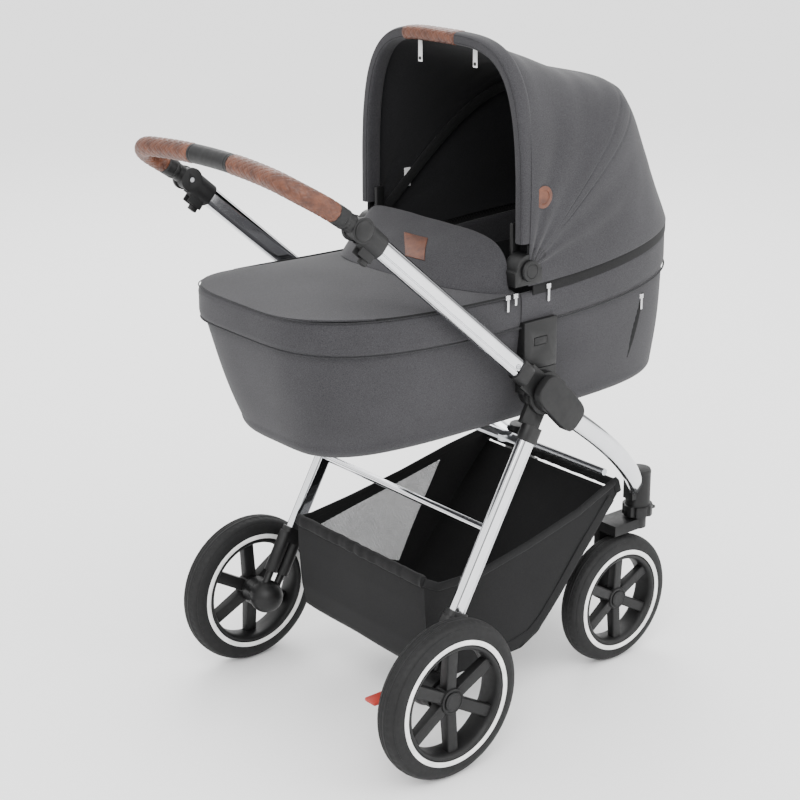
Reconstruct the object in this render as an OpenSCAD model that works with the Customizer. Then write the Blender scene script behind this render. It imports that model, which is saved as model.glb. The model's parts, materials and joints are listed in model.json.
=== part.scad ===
// Baby stroller: folding frame on four wheels, tilting push bar, lift-off cot with canopy, basket.
// +X is forward, +Y is left, +Z is up. The origin is on the floor under the middle of the whole.
// "fwd" sizes are measured forward from the rear axle, heights from the floor.

/* [Frame] */
// Distance between the rear and the front axle
wheel_base = 515; // [480:1:560]
// Distance between the centre planes of the two side frames
frame_w = 460; // [450:1:520]
// Height of the folding hub's axis
hub_h = 600; // [540:1:680]
// Distance of the folding hub's axis ahead of the rear axle
hub_fwd = 262; // [240:1:290]
// Depth of a frame tube, seen from the side
tube_depth = 34; // [30:1:38]
// Thickness of a frame tube, seen from behind
tube_t = 20; // [18:1:22]
// Wall of a frame tube
tube_wall = 2; // [1.2:0.1:3]
// Slope of the upper tubes, from the floor's plane
upper_slope = 41.3; // [36:0.1:46]
// Distance from the hub to the push bar's pivots
pivot_reach = 522; // [500:1:560]
// Diameter of the rear cross tube
rear_cross_d = 14; // [12:1:18]
// Diameter of the front cross tube
front_cross_d = 12; // [10:1:16]

/* [Folding hub] */
// Diameter of the hub's pin
pin_d = 14; // [10:1:18]
// Radial clearance of a pin or shaft that turns in its hole
run_gap = 0.05; // [0.03:0.01:0.1]
// Gap between faces that slide past each other
face_gap = 0.5; // [0.3:0.1:1]
// Radius of the hub's round plates
hub_r = 37; // [34:1:42]
// Thickness of each knuckle plate in the hub
knuckle_t = 8.5; // [7:0.5:9]
// Thickness of the hub's outer cover
hub_cover_t = 16; // [12:1:20]
// Distance from the hub's axis to where the sockets begin
socket_start = 60; // [56:1:66]
// Distance from the hub's axis to the sockets' mouths
socket_end = 88; // [80:1:96]
// Wall of a socket round its tube
socket_wall = 3; // [2.5:0.5:4]

/* [Push bar] */
// Diameter of the push bar under its leather
bar_d = 26; // [22:1:30]
// Thickness of the leather cover
leather_t = 2.5; // [1.5:0.5:3]
// How far the bar lies behind its pivots
bar_back = 102; // [90:1:120]
// How far the bar lies above its pivots
bar_rise = 78; // [60:1:90]
// Bend radius of the bar's corners
bar_bend = 62; // [50:1:70]
// Length of the bare sleeve in the middle of the bar
sleeve_l = 108; // [80:1:140]

/* [Wheels] */
// Diameter of the rear wheels
rear_d = 280; // [260:1:300]
// Diameter of the front wheels
front_d = 246; // [220:1:260]
// Width of the rear tyres
rear_tyre_w = 48; // [44:1:52]
// Width of the front tyres
front_tyre_w = 43; // [38:1:46]
// Height of a tyre's section
tyre_h = 40; // [34:1:44]
// How far a rear wheel's centre plane lies outside its side frame
rear_out = 54; // [50:1:70]
// How far a front wheel's centre plane lies inside its side frame
front_in = 71; // [60:1:76]
// Diameter of the axles
axle_d = 10; // [8:1:12]
// Number of blades that carry a rim
blades = 6; // [5:1:7]
// Distance of a swivel axis ahead of the front axle
trail = 57; // [50:1:66]

/* [Cot] */
// How far the cot's floor lies below the hub's axis
cot_drop = 63; // [56:1:66]
// Height of the cot over its rim
cot_depth = 250; // [240:1:260]
// Height of the rim's padded band
rim_band = 62; // [50:1:70]
// Distance of the cot's rim from the centre plane of each side frame
cot_gap = 20; // [19:1:28]
// Length of the cot over its rim
cot_l = 886; // [860:1:910]
// Distance of the cot's foot end behind the rear axle
cot_back = 198; // [185:1:210]
// Thickness of the cot's padded wall
cot_wall = 14; // [10:1:18]
// Thickness of the mattress
mattress_t = 30; // [20:1:40]

/* [Canopy] */
// Height of the canopy's pivots above the rim
hood_up = 25; // [22:1:28]
// Distance of the canopy's pivots ahead of the rear axle
hood_fwd = 236; // [230:1:242]
// Reach of the canopy at its front hoop
hood_r0 = 366; // [350:1:368]
// Reach of the canopy at its rear edge
hood_r1 = 446; // [436:1:450]
// How far the canopy stands out past the cot's rim on each side
hood_out = 2; // [1:0.5:3]
// Thickness of the canopy's cloth with its lining
hood_t = 3; // [2:0.5:4]
// Thickness of the padded front hoop
hoop_t = 24; // [22:1:26]
// Angle of the second bow behind the hoop
bow_angle = 49; // [46:1:54]

/* [Basket] */
// Distance of the basket's sides from the centre plane of each side frame
basket_gap = 48; // [46:1:60]
// Height of the basket's floor
basket_h = 104; // [95:1:120]
// Thickness of the basket's cloth
basket_t = 3; // [2:0.5:4]

/* [Hidden] */
$fn = 48;

left = 1;
right = -1;
sides = [right, left];
slop = 1;                       // how far a cutting shape reaches past what it cuts
fine_fn = 96;                   // facets of the large round shapes
faceted_fn = 28;                // facets of shapes that are hulled

// Places, from the driving sizes
side_y = frame_w / 2;
rear_track = frame_w + 2 * rear_out;
front_track = frame_w - 2 * front_in;
cot_w = frame_w - 2 * cot_gap;
basket_w = frame_w - 2 * basket_gap;
cot_base_h = hub_h - cot_drop;
rim_h = cot_base_h + cot_depth;
hood_h = rim_h + hood_up;
leather_r = bar_d / 2 + leather_t;
pivot_fwd = hub_fwd - pivot_reach * cos(upper_slope);
pivot_h = hub_h + pivot_reach * sin(upper_slope);
bar_fwd = pivot_fwd - bar_back;
bar_h = pivot_h + bar_rise;
rearmost = bar_fwd - leather_r;
foremost = cot_l - cot_back;
origin_fwd = (rearmost + foremost) / 2;

function at(fwd) = fwd - origin_fwd;
function polar(r, a) = [r * cos(a), r * sin(a)];

hub_x = at(hub_fwd);
rear_axle_x = at(0);
front_axle_x = at(wheel_base);
swivel_x = at(wheel_base + trail);
hub = [hub_x, hub_h];
rear_axle = [rear_axle_x, rear_d / 2];
leg_run = rear_axle - hub;
leg_angle = atan2(leg_run[1], leg_run[0]);
leg_reach = norm(leg_run);
front_angle = -46;              // direction of the front legs where they leave the hub
upper_angle = 180 - upper_slope;

// Layers of the hub, from the cot outwards
plate_proud = 0.5;               // how far the inner plate stands in past its tube's socket
rear_knuckle_y = side_y - tube_t / 2 - socket_wall - plate_proud;
handle_knuckle_y = rear_knuckle_y + knuckle_t + face_gap;
cover_y = handle_knuckle_y + knuckle_t + face_gap;
cover_out = cover_y + hub_cover_t;

// ---------- shared shapes ----------

// Section of a frame tube: round edges, flat faces, a sunk line along the outer face
module tube_section(depth = tube_depth, t = tube_t) {
  r = t / 2;
  flat = depth / 2 - r;
  square([t, 2 * flat], center = true);
  for (k = [-1, 1]) translate([0, k * flat]) circle(r);
}

module grooved_section(side) {
  groove_r = 1.6;
  groove_place = tube_depth / 5;
  difference() {
    tube_section();
    tube_section(tube_depth - 2 * tube_wall, tube_t - 2 * tube_wall);
    translate([side * tube_t / 2, groove_place]) circle(groove_r, $fn = 24);
  }
}

// Places children so that their +X runs along the side plane at an angle from a point
module along(start, angle, y = 0) {
  translate([start[0], y, start[1]]) rotate([0, -angle, 0]) children();
}

// Extrudes a section drawn as [across, in plane] along +X
module run(from, to) {
  translate([from, 0, 0]) rotate([90, 0, 90]) linear_extrude(to - from) children();
}

// A round bar along Y
module cross_bar(x, z, d, y0, y1) {
  translate([x, y0, z]) rotate([-90, 0, 0]) cylinder(d = d, h = y1 - y0);
}

// A disc or ring standing on the side plane
module side_disc(r, y0, y1, side) {
  rotate([-90 * side, 0, 0]) translate([0, 0, y0]) cylinder(r = r, h = y1 - y0);
}

// Rounded end cap of the cot's outline: |y| from the middle to the edge
cap_power = 2.5;
function cap(t) = 1 - pow(1 - pow(abs(t), cap_power), 1 / cap_power);

// Outline of the cot between two ends, with half width w and cap depths foot and head
cap_steps = 12;
function outline(x0, x1, w, foot, head) = concat(
  [for (i = [-cap_steps : cap_steps]) let (t = sin(90 * i / cap_steps)) [x0 + foot * cap(t), t * w]],
  [for (i = [cap_steps : -1 : -cap_steps]) let (t = sin(90 * i / cap_steps)) [x1 - head * cap(t), t * w]]);

module slab(points, z0, z1) {
  translate([0, 0, z0]) linear_extrude(z1 - z0) polygon(points);
}

// A closed skin between two grids of points with the same rows and columns
module skin(outer, inner) {
  rows = len(outer);
  cols = len(outer[0]);
  flat = [for (g = [outer, inner]) for (row = g) for (p = row) p];
  layer = rows * cols;
  function id(l, i, j) = l * layer + i * cols + j;
  function quad(a, b, c, d) = [[a, b, c], [a, c, d]];
  faces = concat(
    [for (i = [0 : rows - 2]) for (j = [0 : cols - 2])
      each quad(id(0, i, j), id(0, i, j + 1), id(0, i + 1, j + 1), id(0, i + 1, j))],
    [for (i = [0 : rows - 2]) for (j = [0 : cols - 2])
      each quad(id(1, i, j), id(1, i + 1, j), id(1, i + 1, j + 1), id(1, i, j + 1))],
    [for (i = [0 : rows - 2])
      each quad(id(0, i, 0), id(0, i + 1, 0), id(1, i + 1, 0), id(1, i, 0))],
    [for (i = [0 : rows - 2])
      each quad(id(0, i + 1, cols - 1), id(0, i, cols - 1), id(1, i, cols - 1), id(1, i + 1, cols - 1))],
    [for (j = [0 : cols - 2])
      each quad(id(0, 0, j + 1), id(0, 0, j), id(1, 0, j), id(1, 0, j + 1))],
    [for (j = [0 : cols - 2])
      each quad(id(0, rows - 1, j), id(0, rows - 1, j + 1), id(1, rows - 1, j + 1), id(1, rows - 1, j))]);
  polyhedron(flat, faces, convexity = 6);
}

// ---------- front frame ----------

// The front legs leave the hub in the side plane, then bend down and inwards to the swivels
leg_bend = 18;                  // how far the leg's middle bows forward of a straight line
collar_low = front_d + 30;      // underside of the swivel's collar
housing_top = collar_low + 86;
stem_top = housing_top - 22;
front_leg_end_h = housing_top - 24;
leg_overlap = [18, 12];         // how far behind and beside the swivel's axis the leg ends, in its housing
function leg_point(t) = let (
    start = concat(polar(socket_start + 4, front_angle), side_y),
    end = [swivel_x - hub_x - leg_overlap[0], front_leg_end_h - hub_h, front_track / 2 + leg_overlap[1]],
    bow = leg_bend * sin(180 * t))
  [hub_x + start[0] + (end[0] - start[0]) * t + bow,
   start[2] + (end[2] - start[2]) * pow(t, 3),
   hub_h + start[1] + (end[1] - start[1]) * t + bow];
leg_pieces = 6;

module leg_ring(t, side) {
  ahead = leg_point(t + 0.02);
  here = leg_point(t);
  slope = atan2(ahead[2] - here[2], ahead[0] - here[0]);
  yaw = atan2(ahead[1] - here[1], ahead[0] - here[0]);
  translate([here[0], side * here[1], here[2]]) rotate([0, -slope, side * yaw])
    rotate([90, 0, 90]) linear_extrude(0.5) tube_section($fn = faceted_fn);
}

module front_leg(side) {
  color([0.75, 0.76, 0.78])
  for (i = [0 : leg_pieces - 1])
    hull() {
      leg_ring(i / leg_pieces, side);
      leg_ring((i + 1) / leg_pieces, side);
    }
}

// Cover plate with the socket of the front leg
module hub_cover(side) {
  nose = socket_end;
  r = hub_r - 6;
  tip_r = 21;
  relief = 1;
  plate_y = side * (cover_y + hub_cover_t / 2);
  difference() {
    union() {
      translate([hub_x, plate_y, hub_h]) rotate([0, -front_angle, 0]) {
        rotate([90, 0, 0]) cylinder(r = r, h = hub_cover_t, center = true);
        translate([(nose - tip_r) / 2, 0, 0])
          cube([nose - tip_r, hub_cover_t, 2 * tip_r], center = true);
      }
      along(hub, front_angle, side * side_y)
        run(socket_start + relief, nose)
          square([tube_t + 2 * socket_wall, tube_depth + 2 * socket_wall], center = true);
    }
    translate([hub_x, 0, hub_h]) side_disc(pin_d / 2, cover_y - slop, cover_y + hub_cover_t / 2, side);
  }
}

module hub_covers() {
  color([0.13, 0.13, 0.14]) for (s = sides) hub_cover(s);
}

adapter_y0 = cot_w / 2 - 16;
module hub_pins() {
  color([0.6, 0.6, 0.62])
  for (s = sides) translate([hub_x, 0, hub_h])
    side_disc(pin_d / 2, adapter_y0 + 4, cover_y + hub_cover_t / 2, s);
}

// Housings in which the front forks swivel, with a notched collar below
housing_r = 23;
collar_r = 28;
collar_h = 20;
stem_d = 18;
lock_w = 14;

module swivel_housing(side) {
  notch_r = 6;
  notch_out = 3;
  lug_out = 6;
  lug_above = 26;
  lug_y = 2;
  lug = [housing_r, 24, 40];
  y = side * front_track / 2;
  translate([swivel_x, y, 0]) difference() {
    union() {
      translate([0, 0, collar_low]) cylinder(r = housing_r, h = housing_top - collar_low);
      translate([0, 0, collar_low]) cylinder(r = collar_r, h = collar_h);
      translate([-housing_r - lug_out, side * lug_y - lug[1] / 2, front_leg_end_h - lug_above]) cube(lug);
    }
    translate([0, 0, collar_low - slop]) cylinder(d = stem_d + 2 * run_gap, h = stem_top - collar_low + slop);
    for (a = [90, 150, 210, 270])
      rotate([0, 0, a]) translate([collar_r + notch_out, 0, collar_low - slop])
        cylinder(r = notch_r, h = collar_h + 2 * slop);
    translate([stem_d / 2 + 5, -lock_w / 2 - face_gap, collar_low - slop])
      cube([collar_r, lock_w + 2 * face_gap, collar_h / 2 + slop]);
  }
}

module swivel_housings() {
  color([0.12, 0.12, 0.13]) for (s = sides) swivel_housing(s);
}

// Thin cross tubes between the side frames
front_cross = [at(424), 412];
front_cross_end = side_y - tube_t / 2 - 5;
brace_reach = 92;
module front_cross_tube() {
  color([0.55, 0.56, 0.58])
    cross_bar(front_cross[0], front_cross[1], front_cross_d, -front_cross_end, front_cross_end);
}

module cross_brace() {
  brace_size = [22, frame_w - tube_t - 2 * socket_wall - 1, 5];
  clip_r = 12;
  clip_in = 36;
  place = hub + polar(brace_reach, leg_angle);
  color([0.6, 0.6, 0.62]) translate([place[0], 0, place[1]]) {
    cube(brace_size, center = true);
    for (s = sides) translate([0, s * (brace_size[1] / 2 - clip_in), 0])
      cylinder(r = clip_r, h = clip_r, center = true);
  }
}

// Towers on the hubs that the cot plugs onto
adapter_w = 74;
tongue_top = hub_h + 96;
tower_top = hub_h + 40;
adapter_t = rear_knuckle_y - face_gap - adapter_y0;
tongue_w = 40;
tongue_t = 9;
module frame_adapters() {
  foot_r = 30;
  color([0.12, 0.12, 0.13])
  for (s = sides) translate([hub_x, s * (adapter_y0 + adapter_t / 2), 0]) difference() {
    union() {
      translate([-adapter_w / 2, -adapter_t / 2, hub_h]) cube([adapter_w, adapter_t, tower_top - hub_h]);
      translate([-tongue_w / 2, -tongue_t / 2, hub_h]) cube([tongue_w, tongue_t, tongue_top - hub_h]);
      translate([0, 0, hub_h]) rotate([90, 0, 0]) cylinder(r = foot_r, h = adapter_t, center = true);
    }
    translate([0, 0, hub_h]) rotate([90, 0, 0]) cylinder(d = pin_d, h = adapter_t + slop, center = true);
  }
}

// Shopping basket of cloth, open on top
basket_back = 38;               // places of the basket's corners ahead of the rear axle
basket_floor = [100, 262];
basket_nose = [wheel_base - front_d / 2 - 62, front_d / 2 + 27];
basket_lip = [wheel_base - 15, front_d + 94];
basket_top = [[-4, 22], [-100, -2], [-250, -18], [-390, -70]];
module basket() {
  rear_top = [at(basket_back), basket_h + 194];
  rear_low = [at(basket_back + 14), basket_h + 22];
  floor0 = [at(basket_floor[0]), basket_h];
  floor1 = [at(basket_floor[1]), basket_h];
  nose = [at(basket_nose[0]), basket_nose[1]];
  lip = [at(basket_lip[0]), basket_lip[1]];
  above = lip[1] + 60;
  t = basket_t;
  color([0.07, 0.07, 0.08]) difference() {
    translate([0, basket_w / 2, 0]) rotate([90, 0, 0]) linear_extrude(basket_w)
      polygon(concat([rear_top, rear_low, floor0, floor1, nose, lip], [for (p = basket_top) lip + p]));
    translate([0, basket_w / 2 - t, 0]) rotate([90, 0, 0]) linear_extrude(basket_w - 2 * t)
      polygon([[rear_top[0] + t, above], rear_low + [t, t], floor0 + [t / 2, t], floor1 + [-t / 3, t],
        nose + [-t, t / 2], lip - [t, 0], [lip[0] - t, above]]);
  }
}

// ---------- rear frame ----------

leg_end = leg_reach - 124;      // where the rear legs' tubes end, measured from the hub
susp_start = leg_reach - 130;
susp_end = leg_reach - 47;
susp_travel = 12;
susp_r = 12.5;
susp_gap = 27;
rod_d = 14;
ball_r = 31;

module rear_leg(side) {
  color([0.75, 0.76, 0.78])
  along(hub, leg_angle, side * side_y) run(socket_start + 4, leg_end) grooved_section(side);
}

// Knuckle plate in the hub with the socket of the tube that it carries
module knuckle(side, angle, y0) {
  fit = 0.1;
  neck = 2 * hub_r * 0.62;
  difference() {
    union() {
      along(hub, angle, side * (y0 + knuckle_t / 2)) rotate([90, 0, 0])
        linear_extrude(knuckle_t, center = true) {
          circle(hub_r);
          translate([0, -neck / 2]) square([socket_start + 2, neck]);
        }
      along(hub, angle, side * side_y)
        run(socket_start, socket_end) tube_section(tube_depth + 2 * socket_wall, tube_t + 2 * socket_wall);
    }
    along(hub, angle, side * side_y)
      run(socket_start + 4 - fit, socket_end + slop) tube_section(tube_depth + 2 * fit, tube_t + 2 * fit);
    translate([hub_x, 0, hub_h]) side_disc(pin_d / 2 + run_gap, y0 - slop, y0 + knuckle_t + slop, side);
  }
}

module rear_knuckles() {
  color([0.13, 0.13, 0.14]) for (s = sides) knuckle(s, leg_angle, rear_knuckle_y);
}

rear_cross_reach = 249;
module rear_cross_tube() {
  end = side_y - tube_t / 2;
  place = hub + polar(rear_cross_reach, leg_angle);
  color([0.75, 0.76, 0.78]) cross_bar(place[0], place[1], rear_cross_d, -end, end);
}

// Twin cylinders at the foot of each rear leg, in which the axle housings spring
module leg_socket(side) {
  cap_end = susp_start + 22;
  fit = 0.1;
  along(hub, leg_angle, side * side_y) difference() {
    union() {
      for (k = [-1, 1]) translate([susp_start + 4, 0, k * susp_gap / 2])
        rotate([0, 90, 0]) cylinder(r = susp_r, h = susp_end - susp_start - 4);
      run(susp_start - 6, cap_end) tube_section(tube_depth + 2 * socket_wall + 6, tube_t + 2 * socket_wall);
    }
    run(susp_start - 6 - slop, leg_end + fit) tube_section(tube_depth + 2 * fit, tube_t + 2 * fit);
    for (k = [-1, 1]) translate([leg_end + 20, 0, k * susp_gap / 2])
      rotate([0, 90, 0]) cylinder(d = rod_d + 2 * run_gap, h = susp_end - leg_end);
  }
}

module leg_sockets() {
  color([0.12, 0.12, 0.13]) for (s = sides) leg_socket(s);
}

// Ball-shaped housing with the sprung rods above it, the drum and the wheel's spindle
drum_r = 27;
wheel_in = rear_track / 2 - rear_tyre_w / 2;
module axle_housing(side) {
  drum_end = wheel_in + 6;
  spindle_end = rear_track / 2 + rear_tyre_w / 2 - 16;
  pedal_d = 8;
  color([0.12, 0.12, 0.13]) difference() {
    union() {
      translate([rear_axle_x, side * side_y, rear_d / 2]) sphere(r = ball_r, $fn = fine_fn);
      translate([rear_axle_x, 0, rear_d / 2]) side_disc(drum_r, side_y, drum_end, side);
      translate([rear_axle_x, 0, rear_d / 2]) side_disc(axle_d / 2, side_y, spindle_end, side);
      along(hub, leg_angle, side * side_y) for (k = [-1, 1])
        translate([leg_end + 20 + susp_travel + 2, 0, k * susp_gap / 2])
          rotate([0, 90, 0]) cylinder(d = rod_d, h = leg_reach - leg_end - 20 - susp_travel - 2);
    }
    if (side == right) translate([rear_axle_x - pedal_back, 0, rear_d / 2 + pedal_up])
      side_disc(pedal_d / 2 + run_gap, side_y - ball_r - slop, side_y + ball_r, side);
  }
}
module axle_housing_left() { axle_housing(left); }
module axle_housing_right() { axle_housing(right); }

// Parking brake pedal, on a pin in the right axle housing
pedal_back = 14;
pedal_up = -10;
module brake_pedal() {
  pin = 8;
  tread = [46, 26, 6];
  tread_back = 34;
  y_in = basket_w / 2 + 3;
  color([0.65, 0.13, 0.12])
  translate([rear_axle_x - pedal_back, 0, rear_d / 2 + pedal_up]) {
    side_disc(pin / 2, y_in, side_y - 8, right);
    side_disc(10, y_in, y_in + 8, right);
    translate([-tread_back - tread[0] / 2, -(y_in + 8), -3]) cube([tread_back + tread[0] / 2, 8, 6]);
    translate([-tread_back - tread[0], -(y_in + tread[1]) + 2, -3]) cube(tread);
  }
}

// ---------- push bar frame ----------

module upper_tube(side) {
  color([0.75, 0.76, 0.78])
  along(hub, upper_angle, side * side_y)
    run(socket_start + 4, pivot_reach - tilt_r - 14) grooved_section(side);
}

module handle_knuckles() {
  color([0.13, 0.13, 0.14]) for (s = sides) knuckle(s, upper_angle, handle_knuckle_y);
}

// Locking housings at the top of the upper tubes, in which the push bar tilts
tilt_r = 19;
tilt_cheek = 6;
tilt_w = tube_t + 2 * socket_wall + 4;
screw_d = 8;
lever_slot = 11;
module tilt_housing(side) {
  fit = 0.1;
  mouth = pivot_reach - tilt_r - 34;
  along(hub, upper_angle, side * side_y) difference() {
    union() {
      run(mouth, pivot_reach) tube_section(tube_depth + 2 * socket_wall, tilt_w);
      translate([pivot_reach, 0, 0]) rotate([90, 0, 0])
        cylinder(r = tube_depth / 2 + socket_wall, h = tilt_w, center = true);
      translate([mouth + 4, -8, tube_depth / 2 - 2]) cube([30, 16, 16]);
    }
    run(mouth - slop, pivot_reach - tilt_r - 14 + fit) tube_section(tube_depth + 2 * fit, tube_t + 2 * fit);
    translate([pivot_reach, 0, 0]) rotate([90, 0, 0])
      cylinder(r = tube_depth / 2 + socket_wall + slop, h = tilt_w - 2 * tilt_cheek, center = true);
    translate([pivot_reach, 0, 0]) rotate([90, 0, 0]) cylinder(d = screw_d, h = tilt_w + slop, center = true);
    translate([mouth + 4 - slop, -lever_slot / 2, tube_depth / 2 + 4])
      cube([30 + 2 * slop, lever_slot, 20]);
  }
}

// The push bar: two arms from the pivots, two bends and the bar across
bar_run = [-bar_back, bar_rise];
bar_angle = atan2(bar_run[1], bar_run[0]);
bar_reach = norm(bar_run);
bar_half = side_y - bar_bend;
grip_start = 54;

module in_bar_frame() {
  along([at(pivot_fwd), pivot_h], bar_angle) children();
}

module bar_arm(section_start) {
  translate([section_start, side_y, 0]) rotate([0, 90, 0])
    linear_extrude(bar_reach - bar_bend - section_start) children();
}

module bar_corner() {
  translate([bar_reach - bar_bend, bar_half, 0]) rotate_extrude(angle = 90, $fn = fine_fn)
    translate([bar_bend, 0]) children();
}

module push_bar() {
  eye_t = tilt_w - 2 * tilt_cheek - 2 * face_gap;
  eye_r = tilt_r - 1;
  arm_start = tube_depth / 2 + socket_wall + 3;
  color([0.12, 0.12, 0.13]) in_bar_frame() difference() {
    union() {
      for (s = sides) mirror([0, (1 - s) / 2, 0]) {
        bar_arm(arm_start) circle(d = bar_d);
        bar_arm(arm_start) circle(r = leather_r - 0.5);
        bar_corner() circle(d = bar_d);
        translate([0, side_y, 0]) rotate([90, 0, 0]) cylinder(r = eye_r, h = eye_t, center = true);
        translate([0, side_y - eye_t / 2, -bar_d / 2 + 2]) cube([arm_start + 2, eye_t, bar_d - 4]);
      }
      translate([bar_reach, bar_half, 0]) rotate([90, 0, 0]) cylinder(d = bar_d, h = 2 * bar_half);
    }
    for (s = sides) translate([0, s * side_y, 0]) rotate([90, 0, 0])
      cylinder(d = screw_d + 2 * run_gap, h = eye_t + slop, center = true);
    for (s = sides) mirror([0, (1 - s) / 2, 0]) bar_arm(grip_start) difference() {
      circle(r = leather_r + 1);
      circle(d = bar_d);
    }
  }
}

module grip(side) {
  gap = 0.1;
  color([0.55, 0.32, 0.22]) in_bar_frame() mirror([0, (1 - side) / 2, 0]) {
    bar_arm(grip_start + gap) ring_section(gap);
    bar_corner() ring_section(gap);
    translate([bar_reach, bar_half, 0]) rotate([90, 0, 0])
      linear_extrude(bar_half - sleeve_l / 2 - gap) ring_section(gap);
  }
}
module ring_section(gap) {
  difference() {
    circle(r = leather_r);
    circle(d = bar_d + 2 * gap);
  }
}
module grip_left() { grip(left); }
module grip_right() { grip(right); }

module bar_sleeve() {
  color([0.12, 0.12, 0.13]) in_bar_frame() translate([bar_reach, sleeve_l / 2, 0]) rotate([90, 0, 0])
    linear_extrude(sleeve_l) ring_section(0.1);
}

module tilt_screws() {
  head_r = 8;
  head_t = 2;
  color([0.6, 0.6, 0.62])
  for (s = sides) translate([at(pivot_fwd), 0, pivot_h]) {
    side_disc(screw_d / 2, side_y - tilt_w / 2, side_y + tilt_w / 2, s);
    side_disc(head_r, side_y + tilt_w / 2, side_y + tilt_w / 2 + head_t, s);
  }
}

// Sliding levers that unlock the fold, one on each locking housing
module fold_lever(side) {
  size = [14, lever_slot - 2 * face_gap, 17];
  color([0.2, 0.2, 0.21]) along(hub, upper_angle, side * side_y)
    translate([pivot_reach - tilt_r - 34 + 6, -size[1] / 2, tube_depth / 2 + 4 + face_gap]) cube(size);
}
module fold_lever_left() { fold_lever(left); }
module fold_lever_right() { fold_lever(right); }

// ---------- cot ----------

cot_x0 = at(-cot_back);
cot_x1 = at(cot_l - cot_back);
foot_cap = 130;
head_cap = 150;
band_low = rim_h - rim_band;
rim_half = cot_w / 2;
body_half = rim_half - 8;
base_half = rim_half - 38;
foot_in = 62;
head_in = 36;
pocket_half = adapter_w / 2 + 1;

module cot_hull(inset, z0, z1) {
  hull() {
    slab(outline(cot_x0 + foot_in + inset, cot_x1 - head_in - inset, base_half - inset,
      foot_cap, head_cap), z0, z0 + 1);
    slab(outline(cot_x0 + 8 + inset, cot_x1 - 8 - inset, body_half - inset, foot_cap, head_cap), z1 - 1, z1);
  }
}

module cot_body() {
  floor_t = 8;
  color([0.3, 0.3, 0.33]) difference() {
    cot_hull(0, cot_base_h, band_low);
    cot_hull(cot_wall, cot_base_h + floor_t, band_low + slop);
    for (s = sides) translate([hub_x - pocket_half, s > 0 ? adapter_y0 - 0.5 : -rim_half, tower_top])
      cube([2 * pocket_half, rim_half - adapter_y0 + 0.5, band_low]);
  }
}

module cot_rim() {
  color([0.3, 0.3, 0.33]) difference() {
    slab(outline(cot_x0, cot_x1, rim_half, foot_cap, head_cap), band_low, rim_h);
    slab(outline(cot_x0 + cot_wall + 4, cot_x1 - cot_wall - 4, rim_half - cot_wall - 4, foot_cap, head_cap),
      band_low - slop, rim_h + slop);
  }
}

module mattress() {
  inset = cot_wall + 4;
  low = cot_base_h + 9;
  color([0.85, 0.85, 0.84])
    slab(outline(cot_x0 + foot_in + inset, cot_x1 - head_in - inset, base_half - inset, foot_cap, head_cap),
      low, low + mattress_t);
}

// Crowned cover over the foot end
apron_end = 70;
apron_crown = 30;
cover_rows = 8;
cover_cols = 16;
function half_width(k) = pow(1 - pow(1 - min(k, 1), cap_power), 1 / cap_power);
function apron_row(i, drop) = let (
    u = (i + 0.4) / (cover_rows + 0.4),
    length = cot_back + apron_end,
    w = (rim_half - 3) * half_width(u * length / foot_cap))
  [for (j = [0 : cover_cols]) let (t = -cos(180 * j / cover_cols))
    [cot_x0 + u * length, t * w, rim_h + 5 - drop + apron_crown * sin(90 * u) * (1 - pow(abs(t), 3))]];
module apron() {
  t = 4;
  color([0.32, 0.32, 0.35])
    skin([for (i = [0 : cover_rows]) apron_row(i, 0)], [for (i = [0 : cover_rows]) apron_row(i, t)]);
}

// Widths of the canopy's layers, from the outside in
rear_w = rim_half + hood_out;
front_w = rear_w - hood_t - 0.5;
hoop_w = front_w - hood_t - 1.5;
bow_w = front_w - hood_t - 1;
mount_out = rear_w;
mount_in = mount_out - 31;
arm_t = 7;
bow_arm_in = mount_in - 2 * arm_t - 3;

// Wind flap that stands up behind the apron, towards the canopy
flap_half = bow_arm_in - 6;
flap_top = rim_h + 67;
flap_reach = [at(76), at(238)];
function flap_row(u, gap) = [for (j = [0 : cover_cols]) let (t = -cos(180 * j / cover_cols))
  [flap_reach[0] + (flap_reach[1] - flap_reach[0]) * u + gap,
   t * flap_half,
   rim_h + 5 + (apron_crown + 1) * (1 - pow(abs(t), 3)) * (1 - u)
     + (flap_top - rim_h - 5) * u * (1 - 0.55 * pow(abs(t), 4)) - gap]];
module wind_flap() {
  t = 3;
  color([0.32, 0.32, 0.35])
    skin([for (i = [0 : 4]) flap_row(i / 4, 0)], [for (i = [0 : 4]) flap_row(i / 4, t)]);
}

// ---------- canopy ----------

// A bow's arch: superellipse with half width w and reach r, from the pivots' height up
arch_power = 3.5;
arch_steps = 28;
function arch_point(w, r, a) =
  [sign(cos(a)) * w * pow(abs(cos(a)), 2 / arch_power), r * pow(sin(a), 2 / arch_power)];
function arch(w, r) = [for (i = [0 : arch_steps]) arch_point(w, r, 180 * i / arch_steps)];

hood_pivot = [at(hood_fwd), hood_h];
hub_keep = 46;                  // canopy cloth and bows stay this far from the pivots
bow_r = 364;
front_r_end = bow_r + hood_t + 14;
rear_r_start = front_r_end + hood_t + 5;
rear_edge = 92;

// Points of a canopy panel between two angles from the vertical
panel_rows = 6;
function panel(a0, a1, r0, r1, w, inset) = [
  for (i = [0 : panel_rows]) let (k = i / panel_rows, a = a0 + (a1 - a0) * k, r = r0 + (r1 - r0) * k - inset)
    [for (j = [0 : arch_steps]) let (
        p = arch_point(w - inset, r, 8 + 164 * j / arch_steps),
        reach = max(p[1], hub_keep))
      [hood_pivot[0] + reach * sin(a), p[0], hood_pivot[1] + reach * cos(a)]]];

module canopy_panel(a0, a1, r0, r1, w) {
  skin(panel(a0, a1, r0, r1, w, hood_t), panel(a0, a1, r0, r1, w, 0));
}

module canopy_rear() {
  color([0.3, 0.3, 0.33]) canopy_panel(bow_angle + 1.5, rear_edge, rear_r_start, hood_r1, rear_w);
}

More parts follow.
